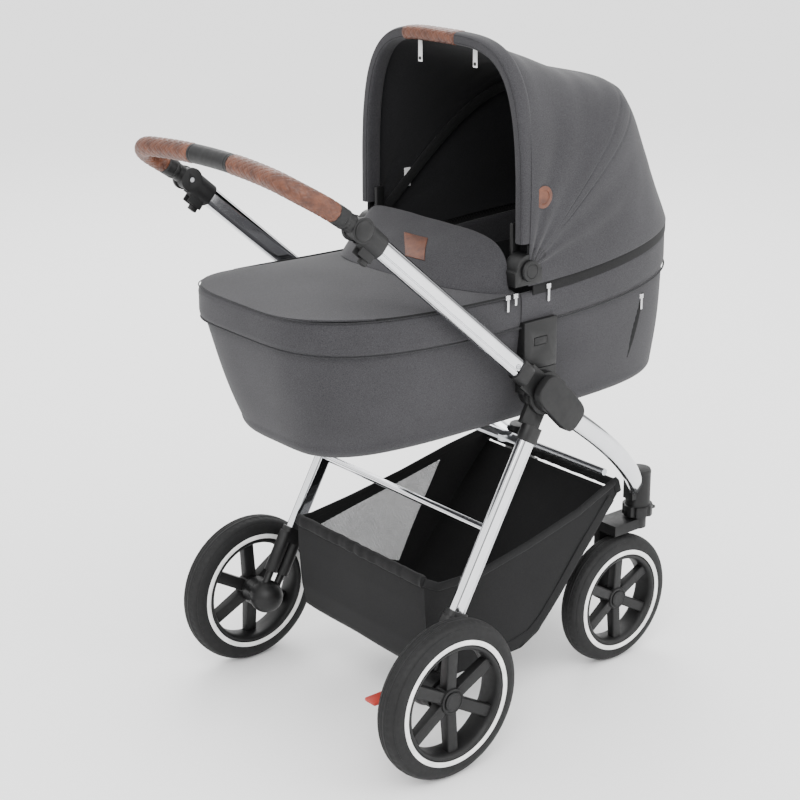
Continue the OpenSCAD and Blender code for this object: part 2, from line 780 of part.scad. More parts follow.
module canopy_front() {
  hoop_half = 3.2;
  color([0.32, 0.32, 0.35]) canopy_panel(hoop_half, bow_angle - 1, hood_r0, front_r_end, front_w);
}

// A bow: a flat ring cut from its arch, standing at an angle from the vertical
module bow(w, r, t, depth, angle) {
  translate([hood_pivot[0], 0, hood_pivot[1]]) rotate([0, angle, 0]) difference() {
    rotate([90, 0, 90]) translate([0, 0, -depth / 2]) linear_extrude(depth) polygon(arch(w, r));
    rotate([90, 0, 90]) translate([0, 0, -depth / 2 - slop]) linear_extrude(depth + 2 * slop)
      polygon(concat([[w - t, -slop]], arch(w - t, r - t), [[-w + t, -slop]]));
    translate([-depth, -w - slop, -slop]) cube([2 * depth, 2 * w + 2 * slop, hub_keep + slop]);
  }
}

module canopy_hoop() {
  hoop_depth = 30;
  color([0.34, 0.34, 0.37]) bow(hoop_w, hood_r0, hoop_t, hoop_depth, 0);
}

grip_half = 46;
module canopy_grip() {
  size = [34, 2 * grip_half, 2];
  lift = 0.3;
  color([0.55, 0.32, 0.22])
  translate([hood_pivot[0] - size[0] / 2, -grip_half, hood_pivot[1] + hood_r0 + lift])
    cube(size);
}

// Knobs with their pins, and the arms that carry the hoop
knob_r = 18;
hood_pin = 10;
module canopy_knobs() {
  color([0.12, 0.12, 0.13])
  for (s = sides) translate([hood_pivot[0], 0, hood_pivot[1]]) {
    side_disc(knob_r, mount_out + face_gap, mount_out + 6, s);
    side_disc(hood_pin / 2, bow_arm_in - 2, mount_out + slop, s);
    side_disc(11, mount_in - arm_t - face_gap, mount_in - face_gap, s);
    translate([-9, s > 0 ? mount_in - arm_t - face_gap : -mount_in + face_gap, 0]) cube([18, arm_t, 74]);
  }
}

module canopy_bow() {
  bow_t = 7;
  bow_depth = 14;
  foot = 12;
  y0 = bow_arm_in;
  color([0.08, 0.08, 0.09]) {
    difference() {
      union() {
        bow(bow_w, bow_r, bow_t, bow_depth, bow_angle);
        for (s = sides) translate([hood_pivot[0], 0, hood_pivot[1]]) rotate([0, bow_angle, 0]) {
          side_disc(10, y0, y0 + arm_t, s);
          translate([-bow_depth / 2, s > 0 ? y0 : -y0 - arm_t, 0]) cube([bow_depth, arm_t, 78 + foot]);
          translate([-bow_depth / 2, s > 0 ? y0 : -bow_w + 2, 78]) cube([bow_depth, bow_w - 2 - y0, foot]);
        }
      }
      for (s = sides) translate([hood_pivot[0], 0, hood_pivot[1]])
        side_disc(hood_pin / 2 + run_gap, y0 - slop, y0 + arm_t + slop, s);
    }
  }
}

// Blocks on the cot's rim in which the canopy turns
module canopy_mounts() {
  size = [60, mount_out - mount_in];
  color([0.12, 0.12, 0.13])
  for (s = sides) difference() {
    union() {
      translate([hood_pivot[0] - size[0] / 2, s > 0 ? mount_in : -mount_out, rim_h + 0.2])
        cube([size[0], size[1], hood_h - rim_h]);
      translate([hood_pivot[0], 0, hood_h]) side_disc(size[0] / 2 - 3, mount_in, mount_out, s);
    }
    translate([hood_pivot[0], 0, hood_h])
      side_disc(hood_pin / 2 + run_gap, mount_in - slop, mount_out + slop, s);
    translate([hood_pivot[0] - size[0], s > 0 ? mount_in - slop : -mount_out - slop, rim_h - 20 + 0.2])
      cube([2 * size[0], size[1] + 2 * slop, 20]);
  }
}

// The cot's own halves of the adapters, with a recess for the release button
button = [28, 3, 13];
button_h = hub_h + 88;
button_recess = 6;
adapter_out = adapter_y0 + adapter_t;
module cot_adapter(side) {
  y_mid = adapter_y0 + adapter_t / 2;
  gap = 0.4;
  x0 = hub_x - adapter_w / 2;
  difference() {
    translate([x0, side > 0 ? adapter_y0 : -adapter_out, tower_top + face_gap])
      cube([adapter_w, adapter_t, band_low - tower_top - 2 * face_gap]);
    translate([hub_x - tongue_w / 2 - gap, side * y_mid - tongue_t / 2 - gap, tower_top - slop])
      cube([tongue_w + 2 * gap, tongue_t + 2 * gap, tongue_top - tower_top + gap + slop]);
    translate([hub_x - button[0] / 2 - face_gap,
      side > 0 ? adapter_out - button_recess : -adapter_out - slop, button_h - button[2] / 2 - face_gap])
      cube([button[0] + 2 * face_gap, button_recess + slop, button[2] + 2 * face_gap]);
  }
}
module cot_adapters() {
  color([0.12, 0.12, 0.13]) for (s = sides) cot_adapter(s);
}

module cot_button(side) {
  color([0.05, 0.05, 0.06])
  translate([hub_x - button[0] / 2, side > 0 ? adapter_out - button[1] : -adapter_out,
    button_h - button[2] / 2])
    cube(button);
}
module cot_button_left() { cot_button(left); }
module cot_button_right() { cot_button(right); }

// ---------- wheels ----------

// Local frame of a wheel: +Z points outwards from the stroller
module on_wheel(x, y, z, side) {
  translate([x, side * y, z]) rotate([-90 * side, 0, 0]) children();
}

// Tyre section: flat crown with grooves, rounded shoulders, drawn as [radius, across]
tyre_steps = 10;
tyre_power = 3;
function tyre_half(r, w) = [for (i = [0 : 2 * tyre_steps]) let (a = -90 + 90 * i / tyre_steps)
  [r - tyre_h + tyre_h * pow(cos(a), 2 / tyre_power),
    sign(sin(a)) * w / 2 * pow(abs(sin(a)), 2 / tyre_power)]];

module tyre(d, w) {
  groove = 1.4;
  difference() {
    rotate_extrude($fn = fine_fn) polygon(tyre_half(d / 2, w));
    for (k = [-1, 0, 1]) translate([0, 0, k * w / 6 - groove / 2])
      difference() {
        cylinder(d = d + 2, h = groove, $fn = fine_fn);
        translate([0, 0, -slop]) cylinder(d = d - 3, h = groove + 2 * slop, $fn = fine_fn);
      }
  }
}

// Rim: barrel, dished blades and hub with a closed cap outside
module rim(d, w) {
  seat_r = d / 2 - tyre_h - 0.05;
  barrel_t = 4;
  barrel_w = w * 0.84;
  blade_w = d * 0.075;
  blade_in = blade_w / 2 / tan(180 / blades) + 2;
  hub_out = norm([blade_in, blade_w / 2]) + 1;
  cap_t = 5;
  hub_face = w / 2 - 10;
  difference() {
    union() {
      difference() {
        translate([0, 0, -barrel_w / 2]) cylinder(r = seat_r, h = barrel_w, $fn = fine_fn);
        translate([0, 0, -barrel_w / 2 - slop])
          cylinder(r = seat_r - barrel_t, h = barrel_w + 2 * slop, $fn = fine_fn);
      }
      translate([0, 0, -w / 2 + 8]) cylinder(r = hub_out, h = hub_face + w / 2 - 8 + 3);
      for (i = [0 : blades - 1]) rotate([0, 0, (i + 0.5) * 360 / blades])
        translate([blade_in, -blade_w / 2, -w / 4])
          cube([seat_r - barrel_t / 2 - blade_in, blade_w, w / 4 + hub_face]);
    }
    translate([0, 0, -w]) cylinder(d = axle_d + 2 * run_gap, h = w + hub_face - cap_t);
  }
}

module rear_tyre(side) {
  color([0.11, 0.11, 0.12]) on_wheel(rear_axle_x, rear_track / 2, rear_d / 2, side) tyre(rear_d, rear_tyre_w);
}
module rear_rim(side) {
  color([0.14, 0.14, 0.15]) on_wheel(rear_axle_x, rear_track / 2, rear_d / 2, side) rim(rear_d, rear_tyre_w);
}
module front_tyre(side) {
  color([0.11, 0.11, 0.12]) on_wheel(front_axle_x, front_track / 2, front_d / 2, side)
    tyre(front_d, front_tyre_w);
}
module front_rim(side) {
  color([0.14, 0.14, 0.15]) on_wheel(front_axle_x, front_track / 2, front_d / 2, side)
    rim(front_d, front_tyre_w);
}
module rear_tyre_left() { rear_tyre(left); }
module rear_tyre_right() { rear_tyre(right); }
module rear_rim_left() { rear_rim(left); }
module rear_rim_right() { rear_rim(right); }
module front_tyre_left() { front_tyre(left); }
module front_tyre_right() { front_tyre(right); }
module front_rim_left() { front_rim(left); }
module front_rim_right() { front_rim(right); }

// Front fork: stem, crown over the tyre, one arm on the inner side and the wheel's axle
arm_in = front_track / 2 - front_tyre_w / 2 - 4;
fork_arm_t = 14;
crown_top = collar_low - 3;
crown_low = front_d + 5;
module fork(side) {
  axle = [front_axle_x, front_d / 2];
  y0 = arm_in - fork_arm_t;
  crown_y1 = front_track / 2 + 14;
  axle_end = front_track / 2 + front_tyre_w / 2 - 18;
  color([0.12, 0.12, 0.13]) {
    translate([swivel_x, side * front_track / 2, crown_low]) cylinder(r = 17, h = crown_top - crown_low);
    translate([swivel_x, side * front_track / 2, crown_low])
      cylinder(d = stem_d, h = stem_top - 6 - crown_low);
    translate([front_axle_x - 14, side > 0 ? y0 : -crown_y1, crown_low])
      cube([swivel_x - front_axle_x + 14, crown_y1 - y0, crown_top - crown_low - 2]);
    translate([0, side > 0 ? y0 + fork_arm_t : -y0, 0]) rotate([90, 0, 0]) linear_extrude(fork_arm_t)
      polygon([[axle[0] - 15, axle[1]], [axle[0] + 15, axle[1]], [swivel_x - 6, crown_top - 4],
        [axle[0] - 14, crown_top - 4]]);
    translate([axle[0], 0, axle[1]]) side_disc(15, y0, arm_in, side);
    translate([axle[0], 0, axle[1]]) side_disc(axle_d / 2, y0 + 1, axle_end, side);
  }
}
module fork_left() { fork(left); }
module fork_right() { fork(right); }

// Levers in front of the swivel collars that hold the front wheels straight
module swivel_lock(side) {
  reach = [stem_d / 2 + 6, collar_r + 14];
  t = 6;
  color([0.2, 0.2, 0.21])
  translate([swivel_x + reach[0], side * front_track / 2 - lock_w / 2, collar_low + 1])
    cube([reach[1] - reach[0], lock_w, t]);
}
module swivel_lock_left() { swivel_lock(left); }
module swivel_lock_right() { swivel_lock(right); }

module front_leg_left() { front_leg(left); }
module front_leg_right() { front_leg(right); }
module rear_leg_left() { rear_leg(left); }
module rear_leg_right() { rear_leg(right); }
module upper_tube_left() { upper_tube(left); }
module upper_tube_right() { upper_tube(right); }
module tilt_housings() {
  color([0.12, 0.12, 0.13]) for (s = sides) tilt_housing(s);
}

front_leg_left();
front_leg_right();
hub_covers();
hub_pins();
swivel_housings();
front_cross_tube();
cross_brace();
frame_adapters();
basket();
rear_leg_left();
rear_leg_right();
rear_knuckles();
rear_cross_tube();
leg_sockets();
axle_housing_left();
axle_housing_right();
brake_pedal();
upper_tube_left();
upper_tube_right();
handle_knuckles();
tilt_housings();
push_bar();
grip_left();
grip_right();
bar_sleeve();
tilt_screws();
fold_lever_left();
fold_lever_right();
cot_body();
cot_rim();
mattress();
apron();
wind_flap();
canopy_rear();
canopy_mounts();
cot_adapters();
canopy_hoop();
canopy_front();
canopy_knobs();
canopy_grip();
canopy_bow();
cot_button_left();
cot_button_right();
rear_tyre_left();
rear_tyre_right();
rear_rim_left();
rear_rim_right();
front_tyre_left();
front_tyre_right();
front_rim_left();
front_rim_right();
fork_left();
fork_right();
swivel_lock_left();
swivel_lock_right();
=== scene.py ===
"""A baby stroller: chromed folding frame, leather push bar, lift-off cot with canopy, cloth basket.

Sizes are in metres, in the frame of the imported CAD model: +X forward, +Y left, +Z up, origin on the floor.
"""

import json
import logging
import math
from dataclasses import dataclass, field
from enum import Enum
from typing import Callable, ClassVar, Iterable, Sequence

import bpy
from mathutils import Matrix, Vector, noise

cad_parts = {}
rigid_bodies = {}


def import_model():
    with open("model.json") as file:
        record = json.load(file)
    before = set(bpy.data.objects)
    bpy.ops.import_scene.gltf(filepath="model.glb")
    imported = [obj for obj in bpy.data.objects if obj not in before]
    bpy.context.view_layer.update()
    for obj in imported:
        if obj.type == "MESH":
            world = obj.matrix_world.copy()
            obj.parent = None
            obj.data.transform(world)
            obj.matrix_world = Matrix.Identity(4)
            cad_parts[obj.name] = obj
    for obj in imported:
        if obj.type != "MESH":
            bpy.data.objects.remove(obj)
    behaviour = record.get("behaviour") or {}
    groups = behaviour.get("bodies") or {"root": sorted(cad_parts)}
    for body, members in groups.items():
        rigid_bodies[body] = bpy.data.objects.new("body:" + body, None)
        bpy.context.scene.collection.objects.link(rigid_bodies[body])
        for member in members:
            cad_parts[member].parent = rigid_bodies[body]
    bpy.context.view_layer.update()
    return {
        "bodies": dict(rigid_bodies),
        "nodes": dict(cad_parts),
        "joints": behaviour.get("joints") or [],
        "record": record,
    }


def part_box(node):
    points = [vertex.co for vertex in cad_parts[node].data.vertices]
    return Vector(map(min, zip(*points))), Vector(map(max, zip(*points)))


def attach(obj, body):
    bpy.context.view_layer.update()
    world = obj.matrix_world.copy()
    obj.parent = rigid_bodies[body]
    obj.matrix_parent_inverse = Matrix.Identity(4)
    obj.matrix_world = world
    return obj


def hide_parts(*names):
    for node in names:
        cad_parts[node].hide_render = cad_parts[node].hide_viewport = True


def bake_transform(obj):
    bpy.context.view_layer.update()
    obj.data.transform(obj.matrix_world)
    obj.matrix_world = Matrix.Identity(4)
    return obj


log = logging.getLogger("stroller")

Pair = tuple[float, float]
Piece = bpy.types.Object
Place = Callable[[float, float], Vector]
Section = Callable[[float, float], Pair]


class Side(Enum):
    """The two sides of the stroller, each with its sign along Y and the letter its bodies end with."""

    LEFT = (1, "l", "left")
    RIGHT = (-1, "r", "right")

    @property
    def sign(self) -> int:
        """+1 on the left, -1 on the right."""
        return self.value[0]

    @property
    def letter(self) -> str:
        """The last letter of this side's bodies."""
        return self.value[1]

    @property
    def word(self) -> str:
        """The word that ends this side's node names."""
        return self.value[2]


# ---------------------------------------------------------------- finishes


class Shader:
    """One node material while it is being wired."""

    def __init__(self, name: str) -> None:
        """Starts an empty node material with a Principled shader.

        Args:
            name: The material's name.
        """
        self.material = bpy.data.materials.new(name)
        self.material.use_nodes = True
        self.tree = self.material.node_tree
        self.tree.nodes.clear()
        self.surface = self.add("ShaderNodeBsdfPrincipled")
        output = self.add("ShaderNodeOutputMaterial")
        self.link(self.surface, "BSDF", output, "Surface")
        self.coordinates = self.add("ShaderNodeTexCoord")

    def add(self, kind: str, **values: object) -> bpy.types.Node:
        """Adds a node and sets its inputs or properties by name.

        Args:
            kind: The node's type name.
            **values: Input names, with _ for a space, or properties in lower case, and their values.

        Returns:
            The new node.
        """
        node = self.tree.nodes.new(kind)
        for key, value in values.items():
            label = key.replace("_", " ")
            if label in node.inputs:
                node.inputs[label].default_value = value
            else:
                setattr(node, key, value)
        return node

    def link(self, source: bpy.types.Node, output: str, target: bpy.types.Node, socket: str | int) -> None:
        """Joins an output of one node to an input of another."""
        self.tree.links.new(source.outputs[output], target.inputs[socket])

    def constant(self, **values: object) -> None:
        """Sets constants on the Principled shader's own sockets."""
        for key, value in values.items():
            self.surface.inputs[key.replace("_", " ")].default_value = value

    def noise(self, scale: Sequence[float], detail: float = 2.0, roughness: float = 0.5) -> bpy.types.Node:
        """Adds a noise texture on Object coordinates.

        Args:
            scale: Cells per metre along X, Y and Z.
            detail: Octaves of the noise.
            roughness: How strong the fine octaves are.

        Returns:
            The noise node.
        """
        mapping = self.add("ShaderNodeMapping", Scale=tuple(scale))
        texture = self.add("ShaderNodeTexNoise", Scale=1.0, Detail=detail, Roughness=roughness)
        self.link(self.coordinates, "Object", mapping, "Vector")
        self.link(mapping, "Vector", texture, "Vector")
        return texture

    def mixed(self, first: bpy.types.Node, second: bpy.types.Node, share: float = 0.5) -> bpy.types.Node:
        """Mixes the factors of two textures.

        Args:
            first: A texture node.
            second: Another texture node.
            share: The second one's share.

        Returns:
            A Mix node whose Result is the mixed factor.
        """
        mix = self.add("ShaderNodeMix", data_type="FLOAT")
        mix.inputs[0].default_value = share
        self.tree.links.new(first.outputs[0], mix.inputs[2])
        self.tree.links.new(second.outputs[0], mix.inputs[3])
        return mix

    def ramp(self, source: bpy.types.Node, stops: Sequence[tuple[float, Sequence[float]]]) -> bpy.types.Node:
        """Turns a factor into a colour by a ramp.

        Args:
            source: The node whose first output is the factor.
            stops: Places and colours along the ramp.

        Returns:
            The ramp node.
        """
        ramp = self.add("ShaderNodeValToRGB")
        elements = ramp.color_ramp.elements
        for element, (place, colour) in zip([elements[0], elements[1]], stops):
            element.position = place
            element.color = (*colour, 1)
        for place, colour in stops[2:]:
            elements.new(place).color = (*colour, 1)
        self.tree.links.new(source.outputs[0], ramp.inputs["Fac"])
        return ramp

    def bump(self, source: bpy.types.Node, strength: float, distance: float) -> None:
        """Feeds a factor to the surface's normal as bump."""
        bump = self.add("ShaderNodeBump", Strength=strength, Distance=distance)
        self.tree.links.new(source.outputs[0], bump.inputs["Height"])
        self.link(bump, "Normal", self.surface, "Normal")


class Finish:
    """A finish that makes its material once and dresses pieces with it."""

    _made: ClassVar[dict[str, bpy.types.Material]] = {}
    name: str
    slot: str

    def wire(self, shader: Shader) -> None:
        """Wires the material's nodes."""
        raise NotImplementedError

    def material(self) -> bpy.types.Material:
        """Gives the finish's material, made on first use."""
        if self.name not in Finish._made:
            shader = Shader(self.name)
            self.wire(shader)
            Finish._made[self.name] = shader.material
        return Finish._made[self.name]

    def dress(self, piece: Piece) -> Piece:
        """Puts the finish on a piece.

        Args:
            piece: A new piece or a CAD node.

        Returns:
            The same piece.
        """
        piece.data.materials.clear()
        piece.data.materials.append(self.material())
        return piece

    def complete(self, piece: Piece, angle: float, body: str, *nodes: str) -> Piece:
        """Shades and dresses a piece, and places it in the assembly.

        Args:
            piece: The finished mesh.
            angle: Edges under this angle, in degrees, are shaded smooth.
            body: The body that it rides on.
            *nodes: The CAD nodes that it stands for.

        Returns:
            The same piece.
        """
        Bench.shade(piece, angle)
        self.dress(piece)
        if nodes:
            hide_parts(*nodes)
        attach(piece, body)
        return piece

    def round_off(self, node: str, body: str, width: float) -> None:
        """Rounds a CAD node's edges, and dresses the rounded copy in the node's place.

        Args:
            node: The CAD node's name.
            body: The body that it rides on.
            width: The radius of the rounding.
        """
        piece = self.dress(Bench.softened(node, width))
        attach(piece, body)
        log.info("casting %s", piece.name)


@dataclass(frozen=True)
class Cloth(Finish):
    """Woven cloth: two crossed sets of fine threads, flecked light and dark."""

    name: str
    slot: str
    dark: tuple[float, float, float]
    light: tuple[float, float, float]
    threads: float = 1100.0
    fleck: float = 0.5
    relief: float = 0.35
    sheen: float = 0.25

    def wire(self, shader: Shader) -> None:
        """Wires crossed thread noise to colour and bump."""
        long = self.threads * 0.22
        warp = shader.noise((self.threads, self.threads, long), 1.0)
        weft = shader.noise((long, long, self.threads), 1.0)
        flock = shader.noise((self.threads * 0.3,) * 3, 2.0, 0.7)
        weave = shader.mixed(shader.mixed(warp, weft, 0.5), flock, 0.4)
        cloud = shader.noise((9, 9, 9), 3.0)
        shade = shader.mixed(weave, cloud, 0.12)
        middle = tuple((a + b) / 2 for a, b in zip(self.dark, self.light))
        half = 0.22 * (1.2 - self.fleck)
        ramp = shader.ramp(shade, [(0.5 - half, self.dark), (0.5 + half, self.light), (0.5, middle)])
        shader.link(ramp, "Color", shader.surface, "Base Color")
        shader.constant(Roughness=0.92, Sheen_Weight=self.sheen, Sheen_Roughness=0.5, Specular_IOR_Level=0.25)
        shader.bump(weave, self.relief, 0.0007)


@dataclass(frozen=True)
class Mesh(Finish):
    """Open netting: small round holes in a grey net, on the piece's own UV map in metres."""

    name: str = "grey_netting"
    slot: str = "black_cloth"
    pitch: float = 0.0024

    def wire(self, shader: Shader) -> None:
        """Wires holes to the shader's alpha and the net's colour."""
        mapping = shader.add("ShaderNodeMapping", Scale=(1 / self.pitch,) * 3)
        cells = shader.add("ShaderNodeTexVoronoi", Scale=1.0, Randomness=0.15)
        shader.link(shader.coordinates, "UV", mapping, "Vector")
        shader.link(mapping, "Vector", cells, "Vector")
        hole = shader.add("ShaderNodeMath", operation="GREATER_THAN")
        hole.inputs[1].default_value = 0.22
        shader.link(cells, "Distance", hole, 0)
        shader.link(hole, "Value", shader.surface, "Alpha")
        tone = shader.noise((900, 900, 900), 1.0)
        ramp = shader.ramp(tone, [(0.3, (0.10, 0.10, 0.105)), (0.7, (0.20, 0.20, 0.205))])
        shader.link(ramp, "Color", shader.surface, "Base Color")
        shader.constant(Roughness=0.8, Specular_IOR_Level=0.3)


@dataclass(frozen=True)
class Leather(Finish):
    """Brown leatherette: pebble grain, soft colour clouds and a satin surface."""

    name: str = "brown_leather"
    slot: str = "brown_leather"
    deep: tuple[float, float, float] = (0.052, 0.016, 0.008)
    warm: tuple[float, float, float] = (0.135, 0.044, 0.020)

    def wire(self, shader: Shader) -> None:
        """Wires colour clouds and pebble grain."""
        cloud = shader.noise((60, 60, 60), 4.0, 0.6)
        ramp = shader.ramp(cloud, [(0.32, self.deep), (0.68, self.warm)])
        shader.link(ramp, "Color", shader.surface, "Base Color")
        grain = shader.add("ShaderNodeTexVoronoi", Scale=900.0)
        shader.link(shader.coordinates, "Object", grain, "Vector")
        shader.constant(Roughness=0.46, Specular_IOR_Level=0.45)
        shader.bump(grain, 0.25, 0.0004)


@dataclass(frozen=True)
class Metal(Finish):
    """Bare metal with a faint drawn grain in its gloss."""

    name: str
    slot: str
    colour: tuple[float, float, float]
    roughness: float
    spread: float = 0.04

    def wire(self, shader: Shader) -> None:
        """Wires grain to the roughness."""
        grain = shader.noise((140, 900, 140), 3.0)
        low, high = self.roughness, self.roughness + self.spread
        ramp = shader.ramp(grain, [(0.3, (low,) * 3), (0.7, (high,) * 3)])
        shader.link(ramp, "Color", shader.surface, "Roughness")
        tone = shader.noise((25, 25, 25), 2.0)
        shades = [(0.3, tuple(0.93 * c for c in self.colour)), (0.7, self.colour)]
        shader.link(shader.ramp(tone, shades), "Color", shader.surface, "Base Color")
        shader.constant(Metallic=1.0)


@dataclass(frozen=True)
class Plastic(Finish):
    """Moulded plastic or rubber: fine grain, small changes of tone and gloss."""

    name: str
    slot: str
    colour: tuple[float, float, float]
    roughness: float = 0.45
    grain: float = 1400.0
    relief: float = 0.12

    def wire(self, shader: Shader) -> None:
        """Wires tone, gloss and a fine moulded grain."""
        tone = shader.noise((35, 35, 35), 3.0)
        shades = [(0.3, tuple(0.82 * c for c in self.colour)), (0.7, tuple(1.15 * c for c in self.colour))]
        shader.link(shader.ramp(tone, shades), "Color", shader.surface, "Base Color")
        gloss = shader.noise((120, 120, 120), 2.0)
        levels = [(0.3, (self.roughness - 0.04,) * 3), (0.7, (self.roughness + 0.06,) * 3)]
        shader.link(shader.ramp(gloss, levels), "Color", shader.surface, "Roughness")
        shader.constant(Specular_IOR_Level=0.32)
        shader.bump(shader.noise((self.grain,) * 3, 2.0), self.relief, 0.0003)


MELANGE = Cloth(
    "grey_melange", "melange_cloth", (0.0120, 0.0116, 0.0134), (0.0500, 0.0490, 0.0532),
    2100.0, 0.55, 0.25, 0.1,
)
LINING = Cloth(
    "black_lining", "black_cloth", (0.0048, 0.0048, 0.0056), (0.0144, 0.0144, 0.0160), 1300.0, 0.4, 0.3, 0.08,
)
BLACK_CLOTH = Cloth(
    "black_cloth", "black_cloth", (0.0033, 0.0033, 0.0036), (0.0105, 0.0105, 0.0110), 1200.0, 0.4, 0.25, 0.05,
)
PIPING = Cloth(
    "dark_piping", "black_cloth", (0.0080, 0.0080, 0.0090), (0.0225, 0.0225, 0.0250), 900.0, 0.4, 0.3, 0.1,
)
MATTRESS = Cloth(
    "mattress_knit", "mattress_cloth", (0.62, 0.62, 0.60), (0.82, 0.82, 0.80), 700.0, 0.5, 0.3, 0.2,
)
LABEL = Cloth("white_label", "mattress_cloth", (0.72, 0.72, 0.72), (0.86, 0.86, 0.86), 1600.0, 0.3, 0.2, 0.1)
NETTING = Mesh()
LEATHER = Leather()
CHROME = Metal("polished_chrome", "chrome", (0.74, 0.75, 0.77), 0.08)
SATIN = Metal("satin_metal", "satin_metal", (0.50, 0.51, 0.53), 0.3)
ZINC = Metal("zip_zinc", "satin_metal", (0.55, 0.55, 0.56), 0.22)
BLACK = Plastic("black_plastic", "black_plastic", (0.0058, 0.0058, 0.0060), 0.46)
SOFT_BLACK = Plastic("soft_black", "black_plastic", (0.0080, 0.0080, 0.0083), 0.55)
RIM = Plastic("rim_plastic", "rim_plastic", (0.0050, 0.0050, 0.0052), 0.5)
TYRE = Plastic("tyre_rubber", "tyre_rubber", (0.0062, 0.0062, 0.0064), 0.68, 700.0, 0.2)
STRIPE = Plastic("pale_stripe", "mattress_cloth", (0.85, 0.85, 0.84), 0.5, 1800.0, 0.1)
RED = Plastic("red_plastic", "red_plastic", (0.36, 0.028, 0.018), 0.42)


# ---------------------------------------------------------------- the bench


